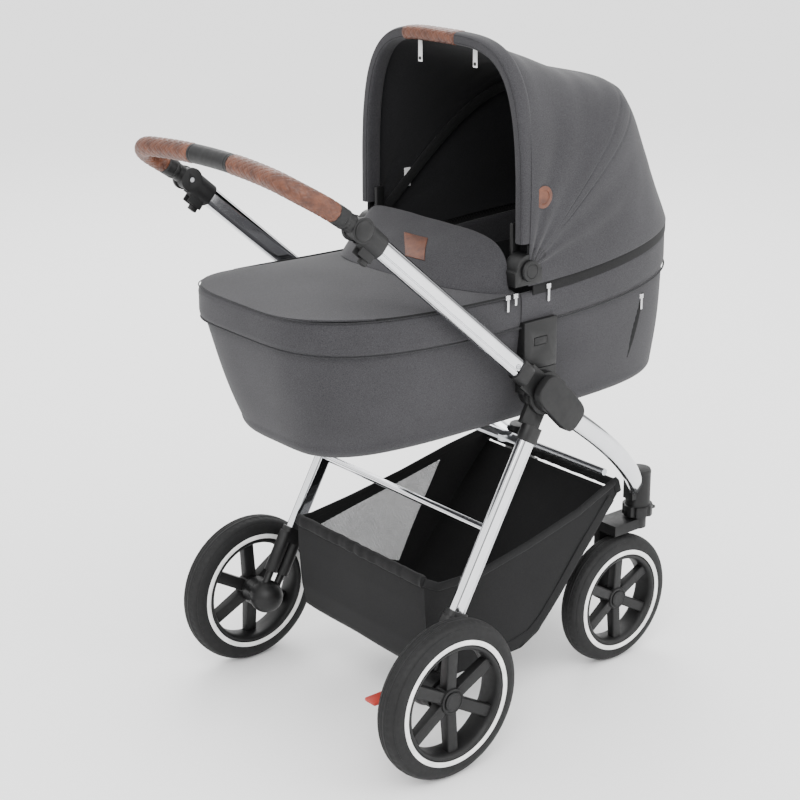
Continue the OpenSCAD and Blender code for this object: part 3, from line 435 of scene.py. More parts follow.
class Bench:
    """Starts meshes from primitives, shapes them in edit mode and finishes them with modifiers."""

    @staticmethod
    def clear() -> None:
        """Deselects everything."""
        bpy.ops.object.select_all(action="DESELECT")

    @staticmethod
    def select(piece: Piece) -> None:
        """Selects one piece alone and makes it active."""
        Bench.clear()
        piece.select_set(True)
        bpy.context.view_layer.objects.active = piece

    @staticmethod
    def weld(piece: Piece, reach: float = 1e-5, turn: bool = True) -> None:
        """Merges doubles in edit mode, then turns the faces outwards.

        Args:
            piece: The piece to weld.
            reach: How close points are merged.
            turn: Whether the normals are worked out again.
        """
        Bench.select(piece)
        bpy.ops.object.mode_set(mode="EDIT")
        bpy.ops.mesh.select_all(action="SELECT")
        bpy.ops.mesh.remove_doubles(threshold=reach)
        if turn:
            bpy.ops.mesh.normals_make_consistent(inside=False)
        bpy.ops.object.mode_set(mode="OBJECT")

    @staticmethod
    def grid(name: str, across: int, along: int, place: Place) -> Piece:
        """Adds a grid and lays its points on a surface.

        Args:
            name: The piece's name.
            across: Faces in the first direction.
            along: Faces in the second direction.
            place: Gives the point for two shares from 0 to 1.

        Returns:
            The new piece.
        """
        Bench.clear()
        bpy.ops.mesh.primitive_grid_add(x_subdivisions=across, y_subdivisions=along, size=2)
        piece = bpy.context.active_object
        piece.name = name
        for vertex in piece.data.vertices:
            vertex.co = place((vertex.co.x + 1) / 2, (vertex.co.y + 1) / 2)
        piece.data.update()
        return piece

    @staticmethod
    def closed(name: str, across: int, along: int, place: Place) -> Piece:
        """Adds a grid that meets itself, and welds it into a closed form."""
        piece = Bench.grid(name, across, along, place)
        Bench.weld(piece)
        return piece

    @staticmethod
    def block(name: str, centre: Sequence[float], size: Sequence[float]) -> Piece:
        """Adds a box at its place, with its size applied.

        Args:
            name: The piece's name.
            centre: The middle of the box.
            size: Its length along each axis.

        Returns:
            The new piece, at the origin.
        """
        Bench.clear()
        bpy.ops.mesh.primitive_cube_add(size=1)
        piece = bpy.context.active_object
        piece.name = name
        piece.data.transform(Matrix.Translation(centre) @ Matrix.Diagonal((*size, 1)))
        return piece

    @staticmethod
    def disc(name: str, centre: Vector, axis: Vector, radius: float, depth: float, steps: int = 48) -> Piece:
        """Adds a round plate at its place, its middle at the centre.

        Args:
            name: The piece's name.
            centre: Middle of the plate.
            axis: Direction it faces.
            radius: Its radius.
            depth: Its thickness.
            steps: Sides of the circle.

        Returns:
            The new piece, at the origin.
        """
        Bench.clear()
        bpy.ops.mesh.primitive_cylinder_add(vertices=steps, radius=radius, depth=depth)
        piece = bpy.context.active_object
        piece.name = name
        turn = axis.normalized().to_track_quat("Z", "Y").to_matrix().to_4x4()
        piece.data.transform(Matrix.Translation(centre) @ turn)
        return piece

    @staticmethod
    def modify(piece: Piece, kind: str, **values: object) -> Piece:
        """Adds a modifier, sets it and applies it.

        Args:
            piece: The piece to change.
            kind: The modifier's type.
            **values: Its settings.

        Returns:
            The same piece.
        """
        Bench.select(piece)
        modifier = piece.modifiers.new(kind.lower(), kind)
        for key, value in values.items():
            setattr(modifier, key, value)
        bpy.ops.object.modifier_apply(modifier=modifier.name)
        return piece

    @staticmethod
    def bevel(piece: Piece, width: float, segments: int = 2, angle: float = 30.0) -> Piece:
        """Rounds the edges that are sharper than an angle."""
        return Bench.modify(
            piece, "BEVEL", width=width, segments=segments,
            limit_method="ANGLE", angle_limit=math.radians(angle),
        )

    @staticmethod
    def thicken(piece: Piece, thickness: float, offset: float = -1.0) -> Piece:
        """Gives a sheet its thickness, inwards by default."""
        return Bench.modify(piece, "SOLIDIFY", thickness=thickness, offset=offset, use_even_offset=False)

    @staticmethod
    def refine(piece: Piece, levels: int = 1) -> Piece:
        """Subdivides a piece into a smoother one."""
        return Bench.modify(piece, "SUBSURF", levels=levels, render_levels=levels)

    @staticmethod
    def shade(piece: Piece, angle: float = 35.0) -> Piece:
        """Shades a piece smooth across edges under an angle."""
        Bench.select(piece)
        bpy.ops.object.shade_smooth_by_angle(angle=math.radians(angle))
        return piece

    @staticmethod
    def join(name: str, pieces: Sequence[Piece]) -> Piece:
        """Joins pieces into the first one and names it."""
        Bench.clear()
        for piece in pieces:
            piece.select_set(True)
        bpy.context.view_layer.objects.active = pieces[0]
        bpy.ops.object.join()
        pieces[0].name = name
        return pieces[0]

    @staticmethod
    def softened(node: str, width: float = 0.0011, segments: int = 2) -> Piece:
        """Copies a CAD node, merges its loose faces and rounds its edges.

        Args:
            node: The CAD node's name.
            width: The radius of the rounding.
            segments: Faces across the rounding.

        Returns:
            The new piece, which stands for the node.
        """
        source = bpy.data.objects[node]
        piece = bpy.data.objects.new(node + "_finished", source.data.copy())
        bpy.context.scene.collection.objects.link(piece)
        Bench.select(piece)
        bpy.ops.object.mode_set(mode="EDIT")
        bpy.ops.mesh.select_all(action="SELECT")
        bpy.ops.mesh.remove_doubles(threshold=2e-5)
        bpy.ops.mesh.dissolve_limited(angle_limit=math.radians(0.8))
        bpy.ops.object.mode_set(mode="OBJECT")
        Bench.modify(
            piece, "BEVEL", width=width, segments=segments, limit_method="ANGLE",
            angle_limit=math.radians(40), use_clamp_overlap=True, harden_normals=False,
        )
        Bench.shade(piece, 38)
        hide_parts(node)
        return piece


class Path:
    """A polyline that gives points and directions by their share of its length."""

    def __init__(self, points: Iterable[Vector]) -> None:
        """Measures the line.

        Args:
            points: Its corners, in order.
        """
        self.points = [Vector(p) for p in points]
        self.reach = [0.0]
        for a, b in zip(self.points, self.points[1:]):
            self.reach.append(self.reach[-1] + (b - a).length)

    @property
    def length(self) -> float:
        """The line's whole length."""
        return self.reach[-1]

    def at(self, share: float) -> Vector:
        """The point at a share of the length."""
        target = min(max(share, 0.0), 1.0) * self.length
        low = 0
        high = len(self.reach) - 1
        while high - low > 1:
            middle = (low + high) // 2
            if self.reach[middle] <= target:
                low = middle
            else:
                high = middle
        span = self.reach[high] - self.reach[low]
        return self.points[low].lerp(self.points[high], (target - self.reach[low]) / span if span else 0.0)

    def heading(self, share: float) -> Vector:
        """The direction of travel at a share of the length."""
        step = 0.5 / max(len(self.points), 60)
        return (self.at(share + step) - self.at(share - step)).normalized()

    def part(self, start: float, end: float, count: int = 80) -> "Path":
        """The stretch between two shares."""
        return Path(self.at(start + (end - start) * i / count) for i in range(count + 1))


def sweep(
    name: str, path: Path, section: Section, around: int, along: int, up: Vector, ends: bool = True
) -> Piece:
    """Sweeps a closed section along a path.

    Args:
        name: The piece's name.
        path: The centre line.
        section: Offsets along side and up for an angle's share and a length's share.
        around: Faces round the section.
        along: Faces along the path.
        up: A direction that the section's second offset follows.
        ends: Whether the ends are closed.

    Returns:
        The closed piece.
    """
    rows = along + 2 if ends else along

    def place(u: float, v: float) -> Vector:
        row = round(v * rows)
        share = (row - 1) / along if ends else row / along
        share = min(max(share, 0.0), 1.0)
        centre = path.at(share)
        if ends and row in (0, rows):
            return centre
        heading = path.heading(share)
        side = up.cross(heading).normalized()
        rise = heading.cross(side)
        a, b = section(u % 1.0, share)
        return centre + side * a + rise * b

    return Bench.closed(name, around, rows, place)


def round_section(radius: float) -> Section:
    """A round section of one radius."""
    return lambda u, v: ring(radius, u)


def oval_section(width: float, height: float, power: float = 3.0) -> Section:
    """A rounded oblong section, width along side and height along up."""

    def section(u: float, v: float) -> Pair:
        c, s = cos_sin(math.tau * u)
        return (
            width / 2 * signed(c, 2 / power),
            height / 2 * signed(s, 2 / power),
        )

    return section


def cos_sin(angle: float) -> Pair:
    """The cosine and the sine of an angle."""
    return math.cos(angle), math.sin(angle)


def ring(radius: float, share: float) -> Pair:
    """A point of a circle at a share of the way round."""
    return radius * math.cos(math.tau * share), radius * math.sin(math.tau * share)


def signed(x: float, power: float) -> float:
    """The power of a number, with the number's own sign."""
    return math.copysign(abs(x) ** power, x)


def quilt(a: float, b: float) -> float:
    """How deep a diamond quilting dips: 0 on a diamond and -1 in a seam.

    Args:
        a: Diamonds counted round the grip.
        b: Diamonds counted along it.

    Returns:
        The dip's share of the stitch's depth.
    """
    first = abs(((a + b) % 1.0) - 0.5) * 2
    second = abs(((a - b) % 1.0) - 0.5) * 2
    return min(min(1 - first, 1 - second) / 0.45, 1.0) ** 0.6 - 1


def mix(a: float, b: float, share: float) -> float:
    """The value between a and b at a share."""
    return a + (b - a) * share


def ease(x: float, low: float, high: float) -> float:
    """Rises smoothly from 0 at low to 1 at high."""
    t = min(max((x - low) / (high - low), 0.0), 1.0)
    return t * t * (3 - 2 * t)


# ---------------------------------------------------------------- where things are


@dataclass(frozen=True)
class Layout:
    """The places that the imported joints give."""

    hub: Vector
    pivot: Vector
    hood: Vector
    rear_axle: Vector
    front_axle: Vector
    swivel: Vector

    @staticmethod
    def read(frame: dict) -> "Layout":
        """Reads the joints' positions.


        Returns:
            The layout of the left side.
        """
        found = {j["name"]: Vector(j["pos_m"]) for j in frame["joints"] if "pos_m" in j}
        return Layout(
            found["handle_fold"], found["handle_tilt"], found["canopy_fold"],
            found["rear_wheel_left_spin"], found["front_wheel_left_spin"], found["caster_left"],
        )


# ---------------------------------------------------------------- wheels


@dataclass
class Wheel:
    """An air-filled wheel: grooved tyre with a pale stripe, six-bladed rim and hub cap."""

    label: str
    side: Side
    body: str
    centre: Vector
    radius: float
    width: float
    tyre_height: float = 0.040
    groove: float = 0.0012
    blades: int = 6
    steps: int = 240
    hub_share: float = 0.115

    @property
    def half(self) -> float:
        """Half of the tyre's width."""
        return self.width / 2

    @property
    def seat(self) -> float:
        """Radius at which the tyre sits on the rim."""
        return self.radius - self.tyre_height

    def turned(self, name: str, profile: Sequence[Pair], steps: int) -> Piece:
        """Turns a closed profile round the axle.

        Args:
            name: The piece's name.
            profile: Corners as (radius, outward).
            steps: Faces round the wheel.

        Returns:
            The closed ring.
        """
        loop = [*profile, profile[0]]
        rows = len(loop) - 1

        def place(u: float, v: float) -> Vector:
            radius, out = loop[round(v * rows)]
            return self.point(math.tau * u, radius, out)

        return Bench.closed(name, steps, rows, place)

    def point(self, angle: float, radius: float, out: float) -> Vector:
        """A point of the wheel from its angle, radius and distance outwards."""
        spoke = Vector((radius * math.cos(angle), self.side.sign * out, radius * math.sin(angle)))
        return self.centre + spoke

    def tyre(self) -> Piece:
        """Makes the tyre, with three grooves round the tread and two rows of dimples."""
        half, bead = self.half, self.seat
        flat = bead + 0.012
        grooves = (-0.30, 0.0, 0.30)
        arcs = 60
        profile = [(bead, 0.86 * half), (bead + 0.0015, 0.95 * half), (bead + 0.004, half), (flat, half)]
        for i in range(1, arcs):
            angle = math.pi * i / arcs
            c, s = cos_sin(angle)
            out = half * signed(c, 0.86)
            reach = flat + (self.radius - flat) * abs(s) ** 0.72
            near = min(abs(out / half - g) for g in grooves)
            shoulder = abs(reach - (self.radius - 0.0085)) < 0.0009
            cut = self.groove if near < 0.045 or shoulder else 0.0
            profile.append((reach - cut, out))
        profile += [(flat, -half), (bead + 0.004, -half), (bead + 0.0015, -0.95 * half), (bead, -0.86 * half)]
        loop = [*profile, profile[0]]
        rows = len(loop) - 1

        def place(u: float, v: float) -> Vector:
            radius, out = loop[round(v * rows)]
            step = round(u * self.steps) % self.steps
            dimple = step % 4 == 0 and 0.40 < abs(out) / half < 0.56 and radius > self.radius - 0.006
            return self.point(math.tau * u, radius - (0.0011 if dimple else 0.0), out)

        piece = Bench.closed(self.label + "_tyre_moulded", self.steps, rows, place)
        Bench.shade(piece, 40)
        return TYRE.dress(piece)

    def stripes(self) -> Piece:
        """Makes the pale rings on both side walls."""
        half, bead = self.half, self.seat
        inner, outer = bead + 0.0025, bead + 0.0108
        rings = []
        for sign in (1, -1):
            wall = [(inner, half - 0.001), (inner, half + 0.0004), (inner + 0.001, half + 0.0009),
                    (outer - 0.001, half + 0.0009), (outer, half + 0.0004), (outer, half - 0.001)]
            profile = [(r, sign * a) for r, a in wall]
            rings.append(self.turned("ring", profile[::sign], 160))
        piece = Bench.join(self.label + "_stripes", rings)
        Bench.shade(piece, 30)
        return STRIPE.dress(piece)

    def rim(self) -> Piece:
        """Makes the barrel with its lips, the six blades and the hub."""
        half, seat = self.half, self.seat
        lip = [(seat + 0.0008, 0.80 * half), (seat + 0.0012, 0.93 * half), (seat - 0.001, 0.985 * half),
               (seat - 0.004, 0.97 * half), (seat - 0.0065, 0.86 * half), (seat - 0.0085, 0.62 * half),
               (seat - 0.0095, 0.2 * half)]
        barrel = lip + [(r, -a) for r, a in reversed(lip)]
        parts = [self.turned("barrel", barrel, 144)]
        hub_out = self.hub_share * self.radius + 0.0065
        hub = [(0.0, 0.56 * half), (hub_out - 0.004, 0.56 * half), (hub_out - 0.0035, 0.61 * half),
               (hub_out - 0.0015, 0.63 * half), (hub_out, 0.58 * half), (hub_out + 0.001, 0.3 * half),
               (hub_out + 0.001, -0.62 * half), (0.0, -0.62 * half)]
        parts.append(self.turned("hub", hub, 64))
        for i in range(self.blades):
            parts.append(self.blade((i + 0.5) * math.tau / self.blades, hub_out - 0.003, seat - 0.0035))
        piece = Bench.join(self.label + "_rim_moulded", parts)
        Bench.bevel(piece, 0.0008, 2, 35)
        Bench.shade(piece, 38)
        return RIM.dress(piece)

    def blade(self, angle: float, start: float, end: float) -> Piece:
        """Makes one flat blade that dishes in from the rim to the hub, hollowed behind.

        Args:
            angle: Its place round the wheel.
            start: Its inner radius.
            end: Its outer radius.

        Returns:
            The blade.
        """
        half = self.half
        wide = 0.075 * self.radius
        edge = 0.0018

        def place(u: float, v: float) -> Vector:
            reach = mix(start, end, v)
            face = mix(0.50, 0.66, v) * half
            back = mix(-0.35, 0.02, v) * half
            width = wide * mix(0.98, 1.06, v)
            corners = [(-width, back), (-width, face - edge), (-width + edge, face), (width - edge, face),
                       (width, face - edge), (width, back), (-width, back)]
            across, out = corners[round(u * 6)]
            direction = Vector((math.cos(angle), 0, math.sin(angle)))
            turn = Vector((-math.sin(angle), 0, math.cos(angle)))
            point = self.centre + direction * reach + turn * across
            point.y = self.centre.y + self.side.sign * out
            return point

        piece = Bench.grid("blade", 6, 6, place)
        Bench.select(piece)
        bpy.ops.object.mode_set(mode="EDIT")
        bpy.ops.mesh.select_all(action="SELECT")
        bpy.ops.mesh.remove_doubles(threshold=1e-5)
        bpy.ops.mesh.select_all(action="DESELECT")
        bpy.ops.mesh.select_non_manifold()
        bpy.ops.mesh.edge_face_add()
        bpy.ops.mesh.select_all(action="SELECT")
        bpy.ops.mesh.normals_make_consistent(inside=False)
        bpy.ops.object.mode_set(mode="OBJECT")
        return piece

    def cap(self) -> Piece:
        """Makes the round cap on the hub, with a shallow ring in its face."""
        half = self.half
        out = self.hub_share * self.radius
        profile = [(0.0, 0.60 * half), (0.0, 0.705 * half), (out - 0.0045, 0.695 * half),
                   (out - 0.004, 0.675 * half), (out - 0.003, 0.675 * half), (out - 0.0025, 0.69 * half),
                   (out - 0.0008, 0.67 * half), (out, 0.63 * half), (out, 0.60 * half)]
        piece = self.turned(self.label + "_cap", profile, 64)
        Bench.shade(piece, 30)
        return SOFT_BLACK.dress(piece)

    def build(self) -> None:
        """Makes the wheel's pieces and lets them ride on its body."""
        pieces = [self.tyre(), self.rim(), self.stripes(), self.cap()]
        end = self.label.split("_")[0]
        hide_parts(f"{end}_tyre_{self.side.word}")
        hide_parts(f"{end}_rim_{self.side.word}")
        for piece in pieces:
            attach(piece, self.body)
            log.info("wheel piece %s", piece.name)


# ---------------------------------------------------------------- frame


@dataclass
class Chassis:
    """The chromed tubes, the folding hub and the plastic castings round them."""

    layout: Layout
    side_y: float = 0.230
    tube_depth: float = 0.034
    tube_thick: float = 0.020
    leg_start: float = 0.060
    front_slope: float = -46.0
    leg_bow: float = 0.006

    soft_nodes: ClassVar[dict[str, tuple[str, float]]] = {
        "hub_covers": ("front_frame", 0.003), "swivel_housings": ("front_frame", 0.0016),
        "frame_adapters": ("front_frame", 0.0022), "rear_knuckles": ("rear_frame", 0.0018),
        "leg_sockets": ("rear_frame", 0.0012), "handle_knuckles": ("handle_frame", 0.0018),
        "tilt_housings": ("handle_frame", 0.0022), "axle_housing_left": ("axle_l", 0.0012),
        "axle_housing_right": ("axle_r", 0.0012), "fork_left": ("fork_l", 0.0022),
        "fork_right": ("fork_r", 0.0022), "swivel_lock_left": ("swivel_lock_l", 0.0014),
        "swivel_lock_right": ("swivel_lock_r", 0.0014), "fold_lever_left": ("fold_lever_l", 0.0014),
        "fold_lever_right": ("fold_lever_r", 0.0014),
    }

    def castings(self) -> None:
        """Rounds the edges of the plastic castings and dresses them."""
        for node, (body, width) in self.soft_nodes.items():
            (SOFT_BLACK if "hub" in node or "tilt" in node else BLACK).round_off(node, body, width)
        RED.round_off("brake_pedal", "pedal", 0.0014)
        SATIN.round_off("cross_brace", "rear_frame", 0.0008)

    def dress_tubes(self, nodes: dict[str, Piece]) -> None:
        """Polishes the CAD tubes that keep their shape."""
        sides = [f"{tube}_{side.word}" for tube in ("rear_leg", "upper_tube") for side in Side]
        for node in (*sides, "rear_cross_tube"):
            CHROME.dress(nodes[node])
            Bench.shade(nodes[node], 30)
        for node in ("hub_pins", "front_cross_tube", "tilt_screws"):
            SATIN.dress(nodes[node])
            Bench.shade(nodes[node], 30)

    def front_leg(self, side: Side) -> None:
        """Sweeps a front leg from its socket, down and inwards to the swivel's housing."""
        hub, swivel = self.layout.hub, self.layout.swivel
        slope = math.radians(self.front_slope)
        top = Vector((self.leg_start * math.cos(slope), self.side_y, self.leg_start * math.sin(slope)))
        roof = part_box("swivel_housings")[1].z
        end = Vector((swivel.x - hub.x - 0.016, swivel.y + 0.010, roof - 0.026 - hub.z))

        def point(t: float) -> Vector:
            bow = self.leg_bow * math.sin(math.pi * t)
            return Vector((
                hub.x + mix(top.x, end.x, t) + bow,
                side.sign * (top.y + (end.y - top.y) * t**3),
                hub.z + mix(top.z, end.z, t) + bow,
            ))

        path = Path(point(i / 60) for i in range(61))
        body = oval_section(self.tube_thick, self.tube_depth, 2.6)
        piece = sweep(f"front_leg_{side.word}_drawn", path, body, 48, 60, Vector((0.7, 0, 0.7)))
        CHROME.complete(piece, 50, "front_frame", f"front_leg_{side.word}")

    def hub_plate(self, side: Side) -> None:
        """Makes the raised oblong plate on a hub's cover, along the front leg."""
        hub = self.layout.hub
        slope = math.radians(self.front_slope)
        along = Vector((math.cos(slope), 0, math.sin(slope)))
        rise = Vector((-math.sin(slope), 0, math.cos(slope)))
        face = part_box("hub_covers")[1].y
        low, high, half = -0.034, 0.084, 0.0285
        middle = (low + high) / 2
        levels = [(0.0, -0.012), (1.0, -0.010), (1.0, 0.0), (0.985, 0.0022), (0.955, 0.0034),
                  (0.90, 0.0038), (0.0, 0.0040)]

        def place(u: float, v: float) -> Vector:
            share, out = levels[round(v * 6)]
            angle = math.tau * (u % 1.0)
            c, s = cos_sin(angle)
            shrink, gather = (1 - share) * 0.03, min(share * 3, 1)
            a = signed(c, 0.42) * ((high - low) / 2 - shrink) * gather
            b = signed(s, 0.55) * (half - shrink) * gather
            spot = hub + along * (middle + a) + rise * b
            spot.y = side.sign * (face + out)
            return spot

        piece = Bench.closed(f"hub_plate_{side.word}", 96, 6, place)
        SOFT_BLACK.complete(piece, 40, "front_frame")

    def rivets(self, side: Side) -> None:
        """Sets the domed rivets at both ends of an upper tube and the screw caps on the pivots."""
        hub, pivot = self.layout.hub, self.layout.pivot
        run = Vector((pivot.x - hub.x, 0, pivot.z - hub.z))
        heads = []
        for share in (0.185, 0.905):
            spot = hub + run * share
            spot.y = side.sign * (self.side_y + self.tube_thick / 2 + 0.0004)
            heads.append(self.dome(spot, side, 0.0046, 0.0024))
        piece = Bench.join(f"tube_rivets_{side.word}", heads)
        SATIN.complete(piece, 50, "handle_frame")
        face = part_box("tilt_screws")[1].y
        cap = self.dome(Vector((pivot.x, side.sign * (face - 0.001), pivot.z)), side, 0.0165, 0.0035)
        cap.name = f"pivot_cap_{side.word}"
        BLACK.complete(cap, 50, "handle_frame")

    def dome(self, spot: Vector, side: Side, radius: float, height: float) -> Piece:
        """Makes a low domed head that faces outwards.

        Args:
            spot: Middle of its foot.
            side: The side it faces.
            radius: Its radius.
            height: Its height.

        Returns:
            The dome.
        """
        levels = 8

        def place(u: float, v: float) -> Vector:
            row = round(v * (levels + 1))
            if row == 0:
                return spot.copy()
            angle = math.pi / 2 * (row - 1) / levels
            reach = radius * math.cos(angle)
            turn = math.tau * u
            out = side.sign * height * math.sin(angle)
            return spot + Vector((reach * math.cos(turn), out, reach * math.sin(turn)))

        return Bench.closed("dome", 32, levels + 1, place)

    def swivel_cap(self, side: Side) -> None:
        """Closes a swivel's housing with a soft round cap."""
        spot = self.layout.swivel.copy()
        spot.y *= side.sign
        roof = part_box("swivel_housings")[1].z
        radius = 0.0232
        rings = [(0.0, -0.004), (radius, -0.004), (radius, 0.0), (0.93 * radius, 0.0035),
                 (0.6 * radius, 0.0062), (0.0, 0.0072)]

        def place(u: float, v: float) -> Vector:
            reach, up = rings[round(v * 5)]
            turn = math.tau * u
            return Vector((spot.x + reach * math.cos(turn), spot.y + reach * math.sin(turn), roof + up))

        cap = Bench.closed(f"swivel_cap_{side.word}", 48, 5, place)
        BLACK.complete(cap, 45, "front_frame")

    def build(self, nodes: dict[str, Piece]) -> None:
        """Makes every piece of the frame.

        Args:
            nodes: The CAD nodes by name.
        """
        self.dress_tubes(nodes)
        self.castings()
        for side in Side:
            self.front_leg(side)
            self.hub_plate(side)
            self.rivets(side)
            self.swivel_cap(side)
            log.info("frame side %s", side.word)


@dataclass
class PushBar:
    """The bowed push bar with its leather grips, its bare sleeve and its end castings."""

    layout: Layout
    side_y: float = 0.230
    back: float = 0.102
    rise: float = 0.078
    bend: float = 0.062
    radius: float = 0.0155
    grip_start: float = 0.054
    sleeve_half: float = 0.054
    arch: float = 0.007
    bare_end: float = 0.016
    diamonds: int = 8
    diamond_length: float = 0.0145
    stitch_depth: float = 0.0010

    def centre_line(self) -> Path:
        """The bar's centre line from the left pivot to the right one."""
        pivot = self.layout.pivot
        along = Vector((-self.back, 0, self.rise))
        reach = along.length
        along.normalize()
        lift = Vector((along.z, 0, -along.x))
        corner, straight = 24, reach - self.bend
        flat = [(self.bare_end + (straight - self.bare_end) * i / 12, self.side_y) for i in range(13)]
        for i in range(1, corner + 1):
            turn = math.pi / 2 * i / corner
            in_y = self.bend * (1 - math.cos(turn))
            flat.append((straight + self.bend * math.sin(turn), self.side_y - in_y))
        width = self.side_y - self.bend
        flat += [(reach, width * (1 - i / 24)) for i in range(1, 25)]
        flat += [(s, -y) for s, y in reversed(flat[:-1])]
        points = []
        for s, y in flat:
            bow = self.arch * (s / reach) ** 2 * (1 - 2.2 * (y / self.side_y) ** 2)
            points.append(Vector((pivot.x, 0, pivot.z)) + along * s + lift * bow + Vector((0, y, 0)))
        return Path(points)

    def quilted(self, length: float) -> Section:
        """A round section whose surface is quilted in diamonds.

        Args:
            length: The grip's length.

        Returns:
            The section.
        """

        def section(u: float, v: float) -> Pair:
            puff = self.stitch_depth * quilt(u * self.diamonds, v * length / self.diamond_length)
            ends = 0.0012 * (1 - min(min(v, 1 - v) * length / 0.003, 1.0))
            radius = self.radius + 0.0006 + puff - ends
            return ring(radius, u)

        return section

    def build(self) -> None:
        """Makes the grips, the sleeve and the end castings."""
        line = self.centre_line()
        whole = line.length
        start = (self.grip_start - self.bare_end) / whole
        middle = self.sleeve_half / whole
        up = Vector((self.rise, 0, self.back)).normalized()
        for side, low, high in ((Side.LEFT, start, 0.5 - middle), (Side.RIGHT, 0.5 + middle, 1 - start)):
            stretch = line.part(low, high, 140)
            section = self.quilted(stretch.length)
            piece = sweep(f"grip_{side.word}_quilted", stretch, section, 96, 300, up)
            LEATHER.complete(piece, 60, "push_handle", f"grip_{side.word}")
            log.info("grip %s", side.word)
        stretch = line.part(0.5 - middle, 0.5 + middle, 40)
        groove = 0.05

        def sleeve(u: float, v: float) -> Pair:
            near_end = min(v, 1 - v)
            radius = self.radius - 0.0002 - (0.0007 if abs(near_end - groove) < 0.012 else 0.0)
            return ring(radius, u)

        piece = sweep("bar_sleeve_moulded", stretch, sleeve, 64, 90, up)
        SOFT_BLACK.complete(piece, 40, "push_handle", "bar_sleeve")
        self.ends(line, start, up)

    def ends(self, line: Path, start: float, up: Vector) -> None:
        """Makes the bare ends of the bar, their collars and the eyes on the pivots.

        Args:
            line: The bar's centre line.
            start: Where the leather begins, as a share of the line.
            up: The direction across the bar.
        """
        parts = []
        for side, low, high in ((Side.LEFT, 0.0, start), (Side.RIGHT, 1.0, 1 - start)):
            stretch = line.part(low, high, 30)

            def collar(u: float, v: float) -> Pair:
                swell = 0.0013 * ease(v, 0.30, 0.42) - 0.0009 * ease(v, 0.93, 1.0)
                notch = 0.0010 if 0.52 < v < 0.57 else 0.0
                radius = self.radius - 0.0008 + swell - notch
                return ring(radius, u)

            parts.append(sweep("collar", stretch, collar, 56, 60, up))
            spot = self.layout.pivot.copy()
            spot.y = side.sign * self.side_y
            parts.append(Bench.disc("eye", spot, Vector((0, 1, 0)), 0.0180, 0.0165, 56))
        core = line.part(start, 1 - start, 120)
        parts.append(sweep("core", core, round_section(0.0130), 24, 100, up))
        piece = Bench.join("push_bar_moulded", parts)
        Bench.bevel(piece, 0.0012, 2, 50)
        BLACK.complete(piece, 45, "push_handle", "push_bar")


# ---------------------------------------------------------------- cot


@dataclass(frozen=True)
class RimShape:
    """The cot's outline at its rim, seen from above, with the padded band's lower and upper edge."""

    foot: float = -0.410
    head: float = 0.460
    half: float = 0.204
    foot_power: float = 4.4
    head_power: float = 3.1

    def power(self, c: float) -> float:
        """How square the outline is on the head's side, for a positive share of its reach, or the foot's."""
        return self.head_power if c > 0 else self.foot_power

    @property
    def middle(self) -> float:
        """X of the outline's middle."""
        return (self.head + self.foot) / 2

    @property
    def reach(self) -> float:
        """Half of the outline's length."""
        return (self.head - self.foot) / 2

    def crossing(self, x: float) -> float:
        """Share of the way round, from the head, at which the outline's left side reaches an X."""
        c = (x - self.middle) / self.reach
        return math.acos(signed(c, self.power(c) / 2)) / math.tau

    def outline(self, share: float, inset: float = 0.0) -> Pair:
        """A point of the outline.

        Args:
            share: Share of the way round, from the head over the left side.
            inset: Distance moved inwards.

        Returns:
            Its X and Y.
        """
        angle = math.tau * share
        c, s = cos_sin(angle)
        power = 2 / self.power(c)
        x = self.middle + (self.reach - inset) * signed(c, power)
        y = (self.half - inset) * signed(s, power)
        return x, y

    def outward(self, share: float) -> Vector:
        """The direction that faces away from the cot at a share of the way round."""
        angle = math.tau * share
        c, s = cos_sin(angle)
        power = 2 - 2 / self.power(c)
        return Vector((
            signed(c, power) / self.reach, signed(s, power) / self.half, 0,
        )).normalized()

    @staticmethod
    def lower(x: float) -> float:
        """Height of the band's lower edge."""
        return 0.7155 + 0.029 * max(x / 0.46, 0.0) ** 2.2 + 0.022 * max(-x / 0.41, 0.0) ** 2.2

    @staticmethod
    def upper(x: float) -> float:
        """Height of the band's upper edge."""
        return 0.772 + 0.040 * max(x / 0.46, 0.0) ** 1.9 + 0.018 * max(-x / 0.41, 0.0) ** 2


